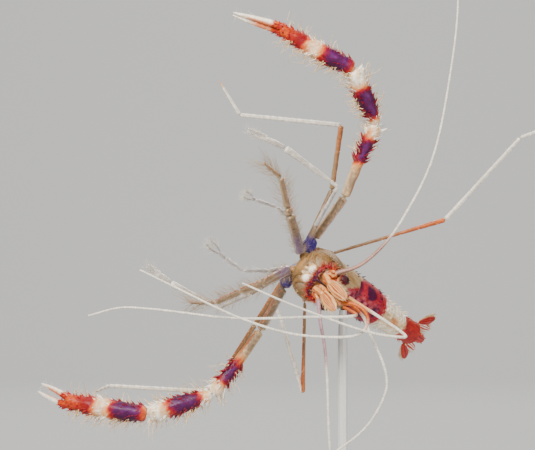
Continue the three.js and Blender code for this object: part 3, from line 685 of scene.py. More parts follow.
def make_walking_legs():
    """The two hind pairs: a glassy upper length that reddens to the knee, then white lengths."""
    white = ringed(WHITE, 0.8)
    for side, way in SIDES:
        fourth = [socket(way, -2), *map(np.array, FOURTH_LEG_JOINTS[side])]
        fifth = [socket(way, -4.3), on_body([way * 3.3, -6.2, -3.4]), *map(np.array, FIFTH_LEG_JOINTS[side])]
        for number, joints, widths, redness in (
            (4, fourth, [(0.66, 0.55, 0.5), (0.5, 0.48, 0.52)], 0.45),
            (5, fifth, [(0.6, 0.5, 0.45), (0.42, 0.38, 0.34), (0.3, 0.34, 0.46)], 1.0 if way > 0 else 0.6),
        ):
            *upper_joints, knee, ankle, toe = joints
            upper, lower, coat = Shape(), Shape(), Shape()
            for i, start in enumerate(upper_joints):
                tint = reddening(redness if i == len(upper_joints) - 1 else 0)
                limb = article(upper, start, joints[i + 1], widths[i], tint, seed=i)
                thorn_row(upper, limb, 0.3, ORANGE, CREAM, turns=[0.8, 3.6], count=6, seed=i)
            limb = article(lower, knee, ankle, (0.44, 0.4, 0.36), white, seed=3)
            hairs(coat, limb, 46, (0.25, 0.7), 0.2, 70 + number, radius=0.018)
            thorn_row(lower, limb, 0.25, WHITE, WHITE, turns=[1.5], count=14, seed=5)
            claw_root = ankle + (toe - ankle) * 0.82
            limb = article(lower, ankle, claw_root, (0.36, 0.32, 0.25), white, seed=4)
            hairs(coat, limb, 24, (0.25, 0.7), 0.2, 75 + number, radius=0.018, where=0.3)
            reach = np.linalg.norm(toe - claw_root)
            for tilt in (-0.18, 0.18):
                way_out = unit(toe - ankle) + vec(0, tilt, tilt)
                thorns(lower, [claw_root], way_out, reach * (1 + tilt), 0.16, CREAM, ORANGE)
            make_skin(upper, f"leg_{number}_upper_{side}", MILKY_LIMB, "orange")
            make_skin(lower, f"leg_{number}_lower_{side}", CLAW_SHELL, "shell_white")
            coat.make(f"fringe_leg_{number}_{side}", BRISTLE, "shell_white", coat=True)


def reddening(redness):
    """Glassy brown, turning orange towards the knee by a share of redness."""
    brown = limb_colours(vec(0.25, 0.13, 0.055), ORANGE * 0.6, CREAM * 0.45)
    orange = limb_colours(ORANGE * 0.7, SCARLET * 0.7, ORANGE)

    def colour(run, turn, points):
        return mix(brown(run, turn, points), orange(run, turn, points), redness * smooth(0.3, 0.85, run))

    return colour


def ringed(base, spacing):
    """White with a thin grey line down its face and faint rings, spacing of them to the millimetre."""

    def colour(run, turn, points):
        distance = np.linalg.norm(points - points[:1], axis=-1)
        rings = smooth(0.8, 1, 0.5 + 0.5 * np.cos(distance * spacing * ROUND))
        seam = smooth(0.75, 0.97, np.cos(turn * 2))
        return base * ((1 - 0.16 * rings - 0.3 * seam) * (0.86 + 0.2 * ripple(points, 2, 5)))[..., None]

    return colour


# ---------------------------------------------------------------- great claws
def banded(length, bands, milky_from):
    """Colours along a claw piece: milky from milky_from on and glassy before it, with bands laid over.

    bands is [(start, stop, kind), ...]. A violet band has a dark core and crimson margins; a red one
    brightens towards the fingers. Both fade through orange into the milky shell beside them.
    """
    glassy = limb_colours(GLASSY * 1.1, ORANGE * 0.8, CREAM)

    def colour(run, turn, points):
        place = run * length + 1.2 * (ripple(points, 1.2, 21) - 0.5) + 0.4 * (ripple(points, 0.35, 22) - 0.5)
        milk = mix(CREAM * 1.08, WHITE * 1.14, smooth(0.3, 0.6, ripple(points, 1.0, 4)))
        tint = mix(glassy(run, turn, points), milk, smooth(milky_from - 0.03, milky_from + 0.03, run))
        edge = np.abs(np.sin(turn)) ** 3
        for start, stop, kind in bands:
            depth = np.minimum(place - start * length, stop * length - place)
            tint = mix(tint, PEACH, 0.8 * smooth(-2.6, -0.4, depth))
            tint = mix(tint, ORANGE, 0.95 * smooth(-1.0, 0.0, depth))
            rich = mix(SCARLET, CRIMSON, smooth(-0.1, 0.6, depth))
            tint = mix(tint, rich, smooth(-0.45, 0.3, depth))
            if kind == "violet":
                # painted highlight: the violet core lightens towards SHEEN where the shell faces the camera,
                # and gives way to crimson towards its outline
                core = mix(PURPLE, SHEEN, 0.85 * np.cos(turn).clip(0, 1) ** 5 * ripple(points, 0.9, 6))
                inside = depth - 0.9 * edge + 0.8 * (ripple(points, 0.5, 33) - 0.4)
                tint = mix(tint, core, smooth(0.15, 1.5, inside))
            else:
                far = run + 0.3 * (ripple(points, 0.6, 5) - 0.5)
                dark = mix(CRIMSON * 0.8, SCARLET * 0.7, smooth(start, 0.95, far))
                far = run + 0.3 * (ripple(points, 0.45, 7) - 0.5)
                bright = mix(dark, FLAME, 0.85 * smooth(0.8, 1.0, far))
                tint = mix(tint, bright, smooth(0.2, 0.9, depth))
        return tint

    return colour


def thorn_tints(bands, milky_from):
    """Root and tip colours of a claw piece's spines, along its length."""

    def tinted(plain, violet, red, white):
        def at(shares):
            tint = mix(plain, white, smooth(milky_from - 0.02, milky_from + 0.02, shares))
            for start, stop, kind in bands:
                tint = mix(tint, violet if kind == "violet" else red, band(start, stop, 0.03, shares))
            return tint

        return at

    return (
        tinted(GLASSY * 1.3, mix(CRIMSON, PURPLE, 0.55), CRIMSON, WHITE * 1.1),
        tinted(PEACH, CRIMSON * 1.15, SCARLET, WHITE * 1.18),
    )


GAPE = {"right": 0.4, "left": 1.0}  # how far each fingertip stands off the claw's own line
HAND_TURN = {"right": 0.87, "left": 0.0}  # how far the fingers open towards the viewer, in radians
# The heavy pieces of a claw arm. Spans and bands are shares of a piece's length.
CLAW_PIECES = {
    "merus": {
        "radii": {"right": (0.84, 1.0, 1.3), "left": (0.84, 1.0, 1.3)},
        "bands": [(0.47, 0.82, "violet")],
        "milky_from": 0.8,
        "spine_rows": 8,
        "spine_size": 1.15,
        "spine_span": (0.46, 0.97),
        "hair_count": 42,
        "hair_span": (0.45, 1.0),
        "hair_place": 0.0,
    },
    "carpus": {
        "radii": {"right": (1.1, 1.72, 1.5), "left": (1.1, 1.72, 1.5)},
        "bands": [(0.16, 0.68, "violet")],
        "milky_from": -1,
        "spine_rows": 9,
        "spine_size": 1.0,
        "spine_span": (0.06, 0.97),
        "hair_count": 90,
        "hair_span": (0.04, 0.98),
        "hair_place": 0.2,
    },
    "palm": {
        "radii": {"right": (1.45, 1.7, 1.1), "left": (1.5, 1.88, 1.35)},
        "bands": [(0.03, 0.43, "violet"), (0.64, 1.3, "red")],
        "milky_from": -1,
        "spine_rows": 10,
        "spine_size": 0.85,
        "spine_span": (0.06, 0.97),
        "hair_count": 110,
        "hair_span": (0.02, 0.9),
        "hair_place": 0.4,
    },
}
SPINE_STEP = 0.72  # between the spines of a row


def make_claw_arms():
    """The great claws: a violet root, a glassy length, three heavy banded pieces and two fingers."""
    for side, way in SIDES:
        base, ischium, merus, carpus, palm, tip = map(np.array, CLAW_JOINTS[side])
        shape = Shape()
        article(shape, socket(way, 0.1), base, (1.4, 1.35, 1.0), violet_root(0.95), sides=18, lumps=0.08)
        make_skin(shape, f"claw_base_{side}", FACE_SHELL, "violet")

        shape = Shape()
        glassy = limb_colours(GLASSY, ORANGE * 0.8, CREAM)
        limb = article(shape, base, ischium, (0.8, 0.84, 0.84), glassy, sides=18)
        thorn_row(shape, limb, 0.4, ORANGE, CREAM, turns=[0.4, 2.7, 4.4], count=7, seed=1, jitter=0.3)
        make_skin(shape, f"claw_ischium_{side}", GLASS_LIMB, "limb_clear")

        coat = Shape()
        claw_piece(side, "merus", ischium, merus, coat)
        claw_piece(side, "carpus", merus, carpus, coat)
        claw_piece(side, "palm", carpus, palm, coat, tip)
        shape = Shape()
        finger(shape, coat, side, palm, tip, -1)
        make_skin(shape, f"claw_finger_{side}", CLAW_SHELL, "shell_white")
        coat.make(f"bristles_claw_{side}", BRISTLE, "shell_red", coat=True)


def finger(shape, coat, side, palm, tip, way):
    """The fixed finger (way 1), which is part of the palm, or the movable one (-1), with small red spines."""
    limb = finger_line(side, palm, tip, way)
    sweep(shape, *limb, finger_colour(side, way))
    turns = np.arange(6) * math.pi / 3
    thorn_row(shape, limb, 0.55, CRIMSON, SCARLET, turns=turns, count=3, span=(0.04, 0.22),
              seed=4 if way > 0 else 5, jitter=0.5)
    hairs(coat, limb, 22, (0.6, 1.6), 0.3, 89 if way > 0 else 88, radius=0.03, where=0.9 if way > 0 else 0.8)


def finger_line(side, palm, tip, way):
    """A finger's middle line and its radii."""
    along = unit(tip - palm)
    aside = unit(np.cross(along, vec(0, 1, 0)))
    aside = way * (aside * math.cos(HAND_TURN[side]) + np.cross(aside, along) * math.sin(HAND_TURN[side]))
    root = palm + aside * 0.66 - along * 1.3
    end = tip + aside * 0.85 * GAPE[side]
    line = curve_through([root, (root + end) / 2 + aside * 0.16, end], 60)
    t = np.linspace(0, 1, 60)
    return line, (0.76 - 0.48 * t) * np.sqrt(np.clip(1 - t**8, 0.03, 1)) * dome(t / 0.1, 0.1)


def finger_colour(side, way):
    """Red at the hinge, then white with an orange outer edge. A finger seen from below is mostly orange."""
    below = way > 0 and HAND_TURN[side] > 0

    def colour(run, turn, points):
        edge = smooth(0.1, 0.8, way * np.sin(turn)) * (1 - smooth(0.6, 0.95, run))
        if below:
            edge = 1 - smooth(0.5, 0.75, run)
        pale = mix(WHITE * 1.18, CREAM, 0.35 * ripple(points, 1.2, 9))
        tint = mix(pale, ORANGE * 1.2, 0.9 * edge)
        red = mix(SCARLET * 0.75, FLAME, smooth(0.35, 0.65, ripple(points, 0.7, 15)))
        return mix(red, tint, smooth(0.24, 0.3, run + 0.06 * (ripple(points, 0.6, 3) - 0.5)))

    return colour


def claw_piece(side, name, start, end, coat, fingertip=None):
    """One heavy claw piece with rows of strong spines, and its long bristles added to the arm's coat."""
    piece = CLAW_PIECES[name]
    colours = piece["bands"], piece["milky_from"]
    span = piece["spine_span"]
    shape = Shape()
    tint = banded(np.linalg.norm(end - start), *colours)
    limb = article(shape, start, end, piece["radii"][side], tint, sides=36, lumps=0.04, bow=0.015)
    root, tip = thorn_tints(*colours)
    count = int(length_of(limb[0]) * (span[1] - span[0]) / SPINE_STEP)
    for i in range(piece["spine_rows"]):
        turn = i * ROUND / piece["spine_rows"] + math.pi / 2
        size = piece["spine_size"] * (0.4 + 0.65 * abs(math.sin(turn)) ** 3)
        thorn_row(shape, limb, size, root, tip, turns=[turn], count=count, span=span, lean=0.7,
                  seed=7 * i + len(name), jitter=0.6)
    if fingertip is not None:
        finger(shape, coat, side, end, fingertip, 1)
    sides = [math.pi / 2, -math.pi / 2, -math.pi / 2, math.pi / 2 + 0.5, -math.pi / 2 - 0.5, math.pi]
    hairs(coat, limb, piece["hair_count"], (1.2, 3.1), 0.3, 80 + len(name), 0.085, 0.3, CREAM * 1.25,
          piece["hair_span"], sides, piece["hair_place"], crook=0.1)
    hairs(coat, limb, piece["hair_count"] // 2, (0.5, 1.4), 0.4, 180 + len(name), 0.045, 0.7, CREAM * 1.2,
          piece["hair_span"], sides, piece["hair_place"])
    make_skin(shape, f"claw_{name}_{side}", CLAW_SHELL, "shell_red")


# ---------------------------------------------------------------- carapace
HALF_LENGTH = 6.5
# The carapace's half width, height and depth, from its front edge (1) to its rear edge (-1)
STATION_Y = [1.0, 0.84, 0.45, -0.1, -0.6, -1.0]
STATION_WIDTH = [3.3, 4.4, 4.9, 4.8, 4.3, 3.7]
STATION_ABOVE = [4.0, 4.6, 4.9, 4.9, 4.5, 3.9]
STATION_BELOW = [3.4, 4.0, 4.4, 4.4, 4.1, 3.4]


def soft_station(sizes, y):
    """A carapace size at a place along the body, given as a share of the half length, smoothed a little."""
    near = (np.clip(y + step, -1, 1) for step in (-0.16, -0.08, 0, 0.08, 0.16))
    return sum(np.interp(place, STATION_Y[::-1], sizes[::-1]) for place in near) / 5


def carapace_point(y, turn, lift):
    """A place on the carapace. y is in millimetres along the body, turn is from the mid line of the back."""
    width, above, below = (
        soft_station(sizes, y / HALF_LENGTH) + lift for sizes in (STATION_WIDTH, STATION_ABOVE, STATION_BELOW)
    )
    height = np.where(np.cos(turn) > 0, above, below)
    return np.stack([width * np.sin(turn), y + np.zeros_like(turn), height * np.cos(turn)], axis=-1)


def carapace_colour(y, turn, points):
    """Mottled tan, with a crimson saddle over the rear of the back and red at the front of it."""
    side = np.abs(turn) / math.pi
    tint = mix(TAN * 0.72, HONEY * 0.9, 0.4 * ripple(points, 1.1, 12))
    tint = mix(tint, HONEY * 1.2, 0.4 * smooth(0.62, 0.78, ripple(points, 0.5, 29)))
    tint = tint * (1 - 0.38 * smooth(0.5, 3.5, y))[..., None]
    saddle = band(-5.0, 0.2, 0.5, y + 1.2 * (ripple(points, 1.5, 2) - 0.5)) * (1 - smooth(0.2, 0.36, side))
    tint = mix(tint, mix(CRIMSON, MAGENTA, ripple(points, 1.2, 3)), 0.92 * saddle)
    front = smooth(4.9, 6.2, y) * (1 - smooth(0.16, 0.3, side))
    return mix(tint, SCARLET, 0.55 * front)


def make_carapace():
    """The open shell round the front of the body; s runs from its front edge (0) to its rear edge (1)."""
    s, turn = np.meshgrid(np.linspace(0, 1, 90), np.radians(np.linspace(-128, 128, 140)), indexing="ij")
    degrees = np.abs(np.degrees(turn))
    front = (
        HALF_LENGTH
        - 0.8 * spot(degrees, 38, 13)  # the orbit
        + 0.5 * spot(degrees, 60, 5)
        + 0.3 * spot(degrees, 84, 4)
        - 1.3 * smooth(50, 80, degrees)
        - 0.8 * smooth(95, 128, degrees)
        + 0.35 * spot(degrees, 0, 9)
    )
    rear = -HALF_LENGTH + 0.7 * spot(degrees, 0, 40)
    y = rear + (front - rear) * (1 - s)
    groove = 0.22 * spot(y + 1.5 * np.cos(turn), 2.2, 0.45)
    rim = 0.12 * (spot(s, 0, 0.02) + spot(s, 1, 0.02))
    points = carapace_point(y, turn, 0)
    lift = rim - groove - 0.25 * smooth(110, 128, degrees)
    points = points + unit(points * vec(1, 0, 1)) * lift[..., None]
    shape = Shape()
    cloth(shape, on_body(points), carapace_colour(y, turn, points), True)
    thicken(shape.make("skin_carapace", BODY_SHELL, "shell_clear", ["carapace"]), 0.28)
    shape = Shape()
    spread_thorns(shape)
    shape.make("spines_carapace", BODY_SHELL, "shell_clear")
    make_rostrum()


def thicken(obj, wall_mm):
    """Gives an open shell plate a wall, on its inner side."""
    wall = obj.modifiers.new("wall", "SOLIDIFY")
    wall.thickness, wall.offset = wall_mm * MM, -1


def spread_thorns(shape):
    """Small forward-pointing spines in staggered rows all over the carapace, and a comb along its front."""
    draw = np.random.default_rng(5)
    for y in np.arange(-5.4, 6.0, 0.82):
        turns = np.radians(np.arange(-112, 113, 11.0)) + draw.uniform(-0.06, 0.06, 21)
        ys = y + draw.uniform(-0.25, 0.25, len(turns))
        roots = carapace_point(ys, turns, -0.05)
        ways = unit(roots * vec(1, 0, 1)) + vec(0, 1.1, 0)
        tint = carapace_colour(ys, turns, roots)
        size = draw.uniform(0.3, 0.6, len(turns)) * np.interp(np.abs(turns), [0.9, 1.5], [1, 0.5])
        thorns(shape, on_body(roots), on_body(ways), size, 0.18 * size + 0.02, tint,
               mix(tint, CREAM, np.full(len(tint), 0.6)))
    turns = np.radians(np.concatenate([np.arange(-118, -44, 6.0), np.arange(46, 119, 6.0)]))
    turns = turns + draw.normal(0, 0.03, len(turns))
    ys = np.full(len(turns), HALF_LENGTH - 1.9) + draw.normal(0, 0.3, len(turns))
    roots = carapace_point(ys, turns, 0)
    ways = unit(roots * vec(1, 0, 1)) * 1.2 + vec(0, 0.8, 0) + draw.normal(0, 0.15, (len(turns), 3))
    lengths = draw.uniform(0.5, 0.95, len(turns))
    thorns(shape, on_body(roots), on_body(ways), lengths, 0.11, TAN * 1.3, CREAM * 1.1)


def make_rostrum():
    """The short beak between the eyes, with three rows of teeth."""
    shape = Shape()
    root, tip = vec(0, 4.9, 4.3), vec(0, 9.9, 5.1)
    line = on_body(root + (tip - root) * np.linspace(0, 1, 30)[:, None])
    profile = np.interp(np.linspace(0, 1, 30), [0, 0.3, 0.8, 1], [0.75, 0.62, 0.3, 0.06])

    def colour(run, turn, points):
        return mix(CRIMSON, PEACH, smooth(0.3, 1, run))

    sweep(shape, line, profile, colour, sides=12, reference=DORSAL, flat=0.6)
    for share in (0.12, 0.28, 0.44, 0.6, 0.76):
        at = root + (tip - root) * share + vec(0, 0, 0.5 * (1 - share))
        thorns(shape, [on_body(at)], on_body([0, 1.2, 1]), 0.85, 0.16, CRIMSON, CREAM)
        for way in (1, -1):
            beside = at + vec(way * 0.35, 0.2, -0.35)
            thorns(shape, [on_body(beside)], on_body([way * 0.8, 1.2, 0.3]), 0.6, 0.12, CRIMSON, CREAM)
    shape.make("rostrum", FACE_SHELL, "shell_red")


# ---------------------------------------------------------------- face
def ellipsoid(shape, centre, radii, colour, turn=(0, 0, 0), segments=24):
    """A lobe in the body's own frame, turned by three angles in degrees."""
    from_pole = np.linspace(0, math.pi, segments // 2 + 1)[1:-1]
    a, b = np.meshgrid(from_pole, np.linspace(0, ROUND, segments, endpoint=False), indexing="ij")
    local = np.stack([np.sin(a) * np.cos(b), np.sin(a) * np.sin(b), np.cos(a)], axis=-1) * np.asarray(radii)
    poles = np.array([[0, 0, radii[2]], [0, 0, -radii[2]]])
    spin = np.array(Euler(np.radians(turn), "XYZ").to_matrix())
    points = np.vstack([local.reshape(-1, 3), poles]) @ spin.T + np.asarray(centre)
    placed = on_body(points)
    if not callable(colour):
        colour = np.asarray(colour) * (0.88 + 0.24 * ripple(points, 0.6, 14))[..., None]
    tint = colour(points) if callable(colour) else colour
    closed(shape, placed[:-2].reshape(*a.shape, 3), placed[-2:], tint)


FACE_MIDDLE = vec(0, 3.6, -0.3)
FACE_SIZE = (4.9, 3.9, 4.3, 4.2)  # half width, forward reach, height and depth
# the jaws' own white, also used as a painted highlight on the jaws and on the face
JAW_HIGHLIGHT_WHITE = vec(1.0, 0.94, 0.79)


def face_point(x, z):
    """A place on the rounded front of the head."""
    tall = np.where(z > FACE_MIDDLE[2], FACE_SIZE[2], FACE_SIZE[3])
    inside = 1 - (x / FACE_SIZE[0]) ** 2 - ((z - FACE_MIDDLE[2]) / tall) ** 2
    return np.stack([x, FACE_MIDDLE[1] + FACE_SIZE[1] * np.sqrt(np.clip(inside, 0, 1)), z], axis=-1)


def make_face():
    """The swollen, see-through front of the head that fills the carapace's opening."""
    shape = Shape()
    rows, columns = 70, 120
    polar, turn = np.meshgrid(
        np.radians(np.linspace(0.5, 112, rows)), np.linspace(0, ROUND, columns), indexing="ij"
    )
    width, reach, above, below = FACE_SIZE
    tall = np.where(np.cos(turn) > 0, above, below)
    x = width * np.sin(polar) * np.sin(turn)
    z = FACE_MIDDLE[2] + tall * np.sin(polar) * np.cos(turn)
    y = FACE_MIDDLE[1] + reach * np.cos(polar)
    low = smooth(-1.6, -3.0, z)
    y = y - low * (0.1 * spot(x, 0, 0.12) + 0.07 * spot(np.abs(x), 2.7 + 0.12 * z, 0.12))  # seams
    points = np.stack([x, y, z], axis=-1)
    tint = mix(TAN * 0.6, HONEY * 0.66, 0.35 * ripple(points, 0.8, 2))
    tint = mix(tint, HONEY * 0.95, 0.5 * smooth(0.6, 0.8, ripple(points, 0.28, 37)))
    tint = mix(tint, TAN * 0.5, 0.6 * smooth(0.62, 0.8, ripple(points, 0.33, 38)))
    # painted highlight: a soft honey glow and a white patch round the jaws, standing for the flash highlights
    # on the dome
    painted_highlight_glow = spot(x, 0.8, 1.9) * spot(z, -3.9, 1.2) + 0.7 * spot(np.hypot(x, z + 1.6), 0, math.sqrt(3.2))
    tint = mix(tint, HONEY * 1.4, np.clip(0.55 * painted_highlight_glow, 0, 1))
    tint = mix(tint, JAW_HIGHLIGHT_WHITE, 0.6 * spot(x, 0, 2.1) * spot(z, -1.4, 0.9))
    tint = mix(tint, vec(0.19, 0.11, 0.055), 0.6 * smooth(55, 85, np.degrees(polar)))
    brow = z - 0.06 * x**2
    tint = mix(tint, mix(CRIMSON, PURPLE, ripple(points, 0.5, 9)), 0.8 * band(-0.55, 0.5, 0.25, brow))
    tint = mix(tint, PEACH * 0.7, smooth(0.4, 1.2, brow))
    cloth(shape, on_body(points), tint, False)
    shape.make("face_front", FACE_SHELL, "shell_clear", ["sternum"])
    make_mouth()
    make_ridge()
    make_breastplate()


def make_mouth():
    """Two glossy white jaws, their bright cores partly a painted highlight, with slender palps folded flat
    beside them and short fringes round the face.
    """
    shape = Shape()
    for _, way in SIDES:
        ellipsoid(shape, (way * 0.98, 7.22, -1.3), (1.12, 0.66, 1.0), jaw_highlight_colour, turn=(-12, way * 30, 0))
        ellipsoid(shape, (way * 0.55, 7.3, -2.3), (0.34, 0.32, 0.58), CREAM * 0.9, turn=(0, way * 14, 0))
    ellipsoid(shape, (0, 7.5, -0.62), (0.45, 0.4, 0.3), CREAM * 0.9)
    shape.make("mouth", FACE_SHELL, "shell_white", ["mouthparts"])
    palps, coat = Shape(), Shape()
    fringe = [0.3, math.pi / 2, math.pi / 2, -math.pi / 2]

    def tint(run, turn, points):
        sheen = (0.8 + 0.2 * np.cos(turn) ** 2)[..., None]
        return mix(TAN * 0.72, HONEY * 0.85, 0.6 * ripple(points, 0.7, 8)) * sheen

    for _, way in SIDES:
        for i, (x, z) in enumerate((
            (np.array([3.9, 3.1, 2.3, 1.95]), np.array([-2.3, -2.6, -2.1, -1.0])),
            (np.array([2.7, 2.0, 1.3, 0.9]), np.array([-3.3, -3.3, -3.0, -2.4])),
        )):
            line = curve_through(on_body(face_point(way * x, z) + vec(0, 0.02, 0)), 40)
            limb = line, np.interp(np.linspace(0, 1, 40), [0, 0.5, 0.94, 1], [0.3, 0.29, 0.2, 0.05])
            sweep(palps, *limb, tint, sides=14)
            hairs(coat, limb, 40, (0.35, 0.9), 0.2, 300 + i, lean=0.6, radius=0.02,
                  tint=CREAM * 0.8, span=(0.35, 1), angles=fringe, where=0.2 * i)
    palps.make("palps", FACE_SHELL, "limb_clear")
    fringe_face(coat, 150, (-0.42, 0.42), (-0.74, -0.5), (0.25, 0.6))
    fringe_face(coat, 520, (-1.0, 1.0), (-1.0, 0.75), (0.35, 1.0), rim=0.86)
    coat.make("fringe_mouth", BRISTLE, "shell_white", coat=True)


def jaw_highlight_colour(points):
    """Bright white, partly the jaws' own white and partly a painted highlight, fading unevenly to tan round
    the edge and where the two jaws meet.
    """
    across, up = np.abs(points[..., 0]) - 0.95, points[..., 2] + 1.25
    reach = np.hypot(across, 0.95 * up) + 0.5 * (ripple(points, 0.5, 15) - 0.5)
    return mix(JAW_HIGHLIGHT_WHITE, HONEY * 1.35, smooth(0.55, 1.05, reach))


def fringe_face(coat, count, across, up, lengths, rim=0.0):
    """Short bristles on the face, by shares of its half width and depth; rim keeps them to its edge."""
    draw = np.random.default_rng(count)
    x, z = draw.uniform(*across, 4 * count), draw.uniform(*up, 4 * count)
    far = np.hypot(x, z)
    keep = np.flatnonzero((far < 1) & (far > rim))[:count]
    spots = face_point(x[keep] * FACE_SIZE[0], FACE_MIDDLE[2] + z[keep] * FACE_SIZE[3])
    ways = unit(spots - FACE_MIDDLE * vec(1, 0.4, 1) + vec(0, 0, -0.8) + draw.normal(0, 0.5, (len(keep), 3)))
    places = np.stack([0.5 + 0.45 * x[keep], 0.5 + 0.45 * z[keep]], axis=1)
    bristles(coat, on_body(spots), on_body(ways), draw.normal(0, 0.15, (len(keep), 3)),
             draw.uniform(*lengths, len(keep)), 0.022, CREAM * 0.85, places)


# The right half of the ridge's middle line, outwards from the mid line, on the body
RIDGE_HALF = [(0, 7.85, -0.1), (1.4, 7.8, -0.1), (2.5, 7.5, 0.15), (3.25, 7.2, 0.95), (3.45, 7.0, 2.1),
              (3.2, 6.9, 3.3)]


def make_ridge():
    """The horseshoe of spiny red and purple shell round the roots of the feelers."""
    shape = Shape()
    left = [(-x, y, z) for x, y, z in RIDGE_HALF[:0:-1]]
    steps = 160
    arch = curve_through(left + RIDGE_HALF, steps)
    run = np.linspace(-1, 1, steps)
    profile = np.interp(np.abs(run), [0, 0.5, 0.85, 1], [0.36, 0.33, 0.28, 0.08])
    profile = profile * (1 + 0.14 * np.sin(run * 37) + 0.16 * np.sin(run * 23 + 1))

    def colour(along, turn, points):
        red = mix(CRIMSON, SCARLET, smooth(0.5, 0.75, ripple(points, 0.5, 17)))
        blotch = ripple(points, 0.7, 23) - 0.2 * np.abs(2 * along - 1)
        return mix(red, PURPLE, 0.9 * smooth(0.35, 0.5, blotch))

    sweep(shape, on_body(arch), profile, colour, sides=16, reference=FORWARD)
    draw = np.random.default_rng(3)
    spots = draw.uniform(2, steps - 3, 260).astype(int)
    tangents = unit(np.gradient(arch, axis=0))
    outward = unit(np.cross(tangents, vec(0, 1, 0)))
    outward = outward * np.sign(-outward[steps // 2, 2])
    for i in spots:
        inner = draw.uniform() < 0.25
        way = outward[i] * (-0.7 if inner else 1.0) + vec(0, draw.uniform(-0.3, 0.9), 0)
        way = way + draw.normal(0, 0.35, 3)
        size = draw.uniform(0.45, 0.8) if inner else draw.uniform(0.6, 1.4)
        shade = draw.uniform()
        root_tint = mix(CRIMSON, SCARLET, shade) if draw.uniform() > 0.45 else PURPLE
        tip_tint = mix(SCARLET, ORANGE, shade) if shade < 0.75 else CREAM
        thorns(shape, [on_body(arch[i])], on_body(way), size + 0.3, 0.085, root_tint, tip_tint)

    # painted shade: purple tubes that darken to near black along the creases between the feeler lobes and the
    # ridge
    def purple_crease_shade(along, turn, points):
        return mix(PURPLE, DARK, along)

    for start, end, radius in (
        ((0, 7.8, -0.2), (0, 8.5, 2.7), 0.34),
        ((0, 8.0, 0.5), (1.2, 7.9, -0.5), 0.24),
        ((0, 8.0, 0.5), (-1.0, 7.9, -0.6), 0.24),
    ):
        line = on_body(np.linspace(start, end, 16))
        sweep(shape, line, radius * np.linspace(1, 0.25, 16), purple_crease_shade, sides=10)
    for _, way in SIDES:
        lobe = (way * 1.7, 7.35, 1.75)
        ellipsoid(shape, lobe, (1.05, 0.85, 1.0), feeler_lobe, turn=(0, way * 20, 0), segments=32)
        for angle in np.radians(np.arange(0, 360, 30)):
            rim = vec(lobe[0] + 0.8 * math.cos(angle), 7.95, lobe[2] + 0.75 * math.sin(angle))
            thorns(shape, [on_body(rim)], on_body(rim - lobe), 0.5, 0.09, SCARLET, CREAM)
    shape.make("ridge", FACE_SHELL, "shell_red")


def feeler_lobe(points):
    """Pinkish see-through shell with orange streaks."""
    streak = smooth(0.55, 0.8, ripple(points, 0.32, 6))
    tint = mix(vec(0.42, 0.2, 0.14), vec(0.55, 0.36, 0.26), ripple(points, 0.8, 7))
    return mix(tint, ORANGE, 0.7 * streak)


def make_breastplate():
    """The soft underside between the legs, with a swollen root for each leg."""
    shape = Shape()
    y = np.linspace(5.2, -6.3, 60)
    line = on_body(np.stack([0 * y, y, 0 * y - 2.6], axis=1))
    profile = 2.5 * np.sqrt(np.clip(1 - (np.abs(y + 0.5) / 6.2) ** 6, 0.05, 1))

    def colour(run, turn, points):
        return mix(TAN, PALE_BLUE * 0.8, 0.5 * band(0.3, 0.7, 0.15, run) * ripple(points, 0.9, 5))

    sweep(shape, line, profile, colour, sides=28, reference=RIGHT, flat=0.72)
    sockets = ((4.7, TAN), (3.3, GLASSY), (1.8, PALE_BLUE), (0.1, VIOLET), (-2.0, PALE_BLUE), (-4.3, TAN))
    for back, tint in sockets:
        for _, way in SIDES:
            ellipsoid(shape, (way * 1.65, back, -4.15), (0.9, 0.8, 0.85), tint)
    shape.make("breastplate", FACE_SHELL, "limb_clear")


def from_body(box):
    """The middle of a CAD box, seen from the body's middle, and its largest size, in millimetres."""
    low, high = box
    return np.array((low + high) / 2) / MM - BODY_CENTRE, max(high - low) / MM


def make_eyes():
    """Each eye sits on its CAD eye, and its stalk comes from the CAD stalk's side."""
    for side, _ in SIDES:
        centre, size = from_body(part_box(f"eye_{side}"))
        stalk, _ = from_body(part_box(f"eyestalk_{side}"))
        radius = 1.1 * size / 2
        way = unit(centre - stalk)

        def stalk_colour(run, turn, points):
            return mix(mix(CREAM, SCARLET, band(0.35, 0.75, 0.1, run)), PURPLE, smooth(0.85, 1, run))

        shape = Shape()
        line = curve_through([stalk - way * 0.75, centre - way * 0.35 * radius], 24)
        profile = np.interp(np.linspace(0, 1, 24), [0, 0.4, 0.85, 1], [0.55, 0.5, 0.78, 0.8])
        sweep(shape, line, profile, stalk_colour)
        make_skin(shape, f"eyestalk_{side}", FACE_SHELL, "limb_clear")
        local, local_way = (vec(v @ RIGHT, v @ FORWARD, v @ DORSAL) for v in (centre, way))

        def cornea(points):
            facing = unit(points - local) @ unit(local_way)
            patch = smooth(0.3, 0.7, ripple(points, 0.4, 5))
            maroon = mix(vec(0.16, 0.008, 0.008), vec(0.04, 0.003, 0.008), patch)
            maroon = mix(maroon, DARK, smooth(0.55, 0.7, ripple(points, 0.25, 19)))
            maroon = mix(PEACH * 0.4, maroon, smooth(-0.4, 0.1, facing))
            return mix(maroon, DARK, 0.6 * smooth(0.6, 0.95, facing))

        shape = Shape()
        ellipsoid(shape, local, (radius, radius, radius), cornea, segments=40)
        draw = np.random.default_rng(23)
        ways = unit(draw.normal(size=(26, 3)) + way * 0.2)
        ways = ways[np.abs(ways @ way) < 0.75]
        thorns(shape, centre + ways * 0.96 * radius, ways + way * 0.5, 0.4, 0.09, PURPLE, CRIMSON)
        make_skin(shape, f"eye_{side}", EYE_MATERIAL, "eye")


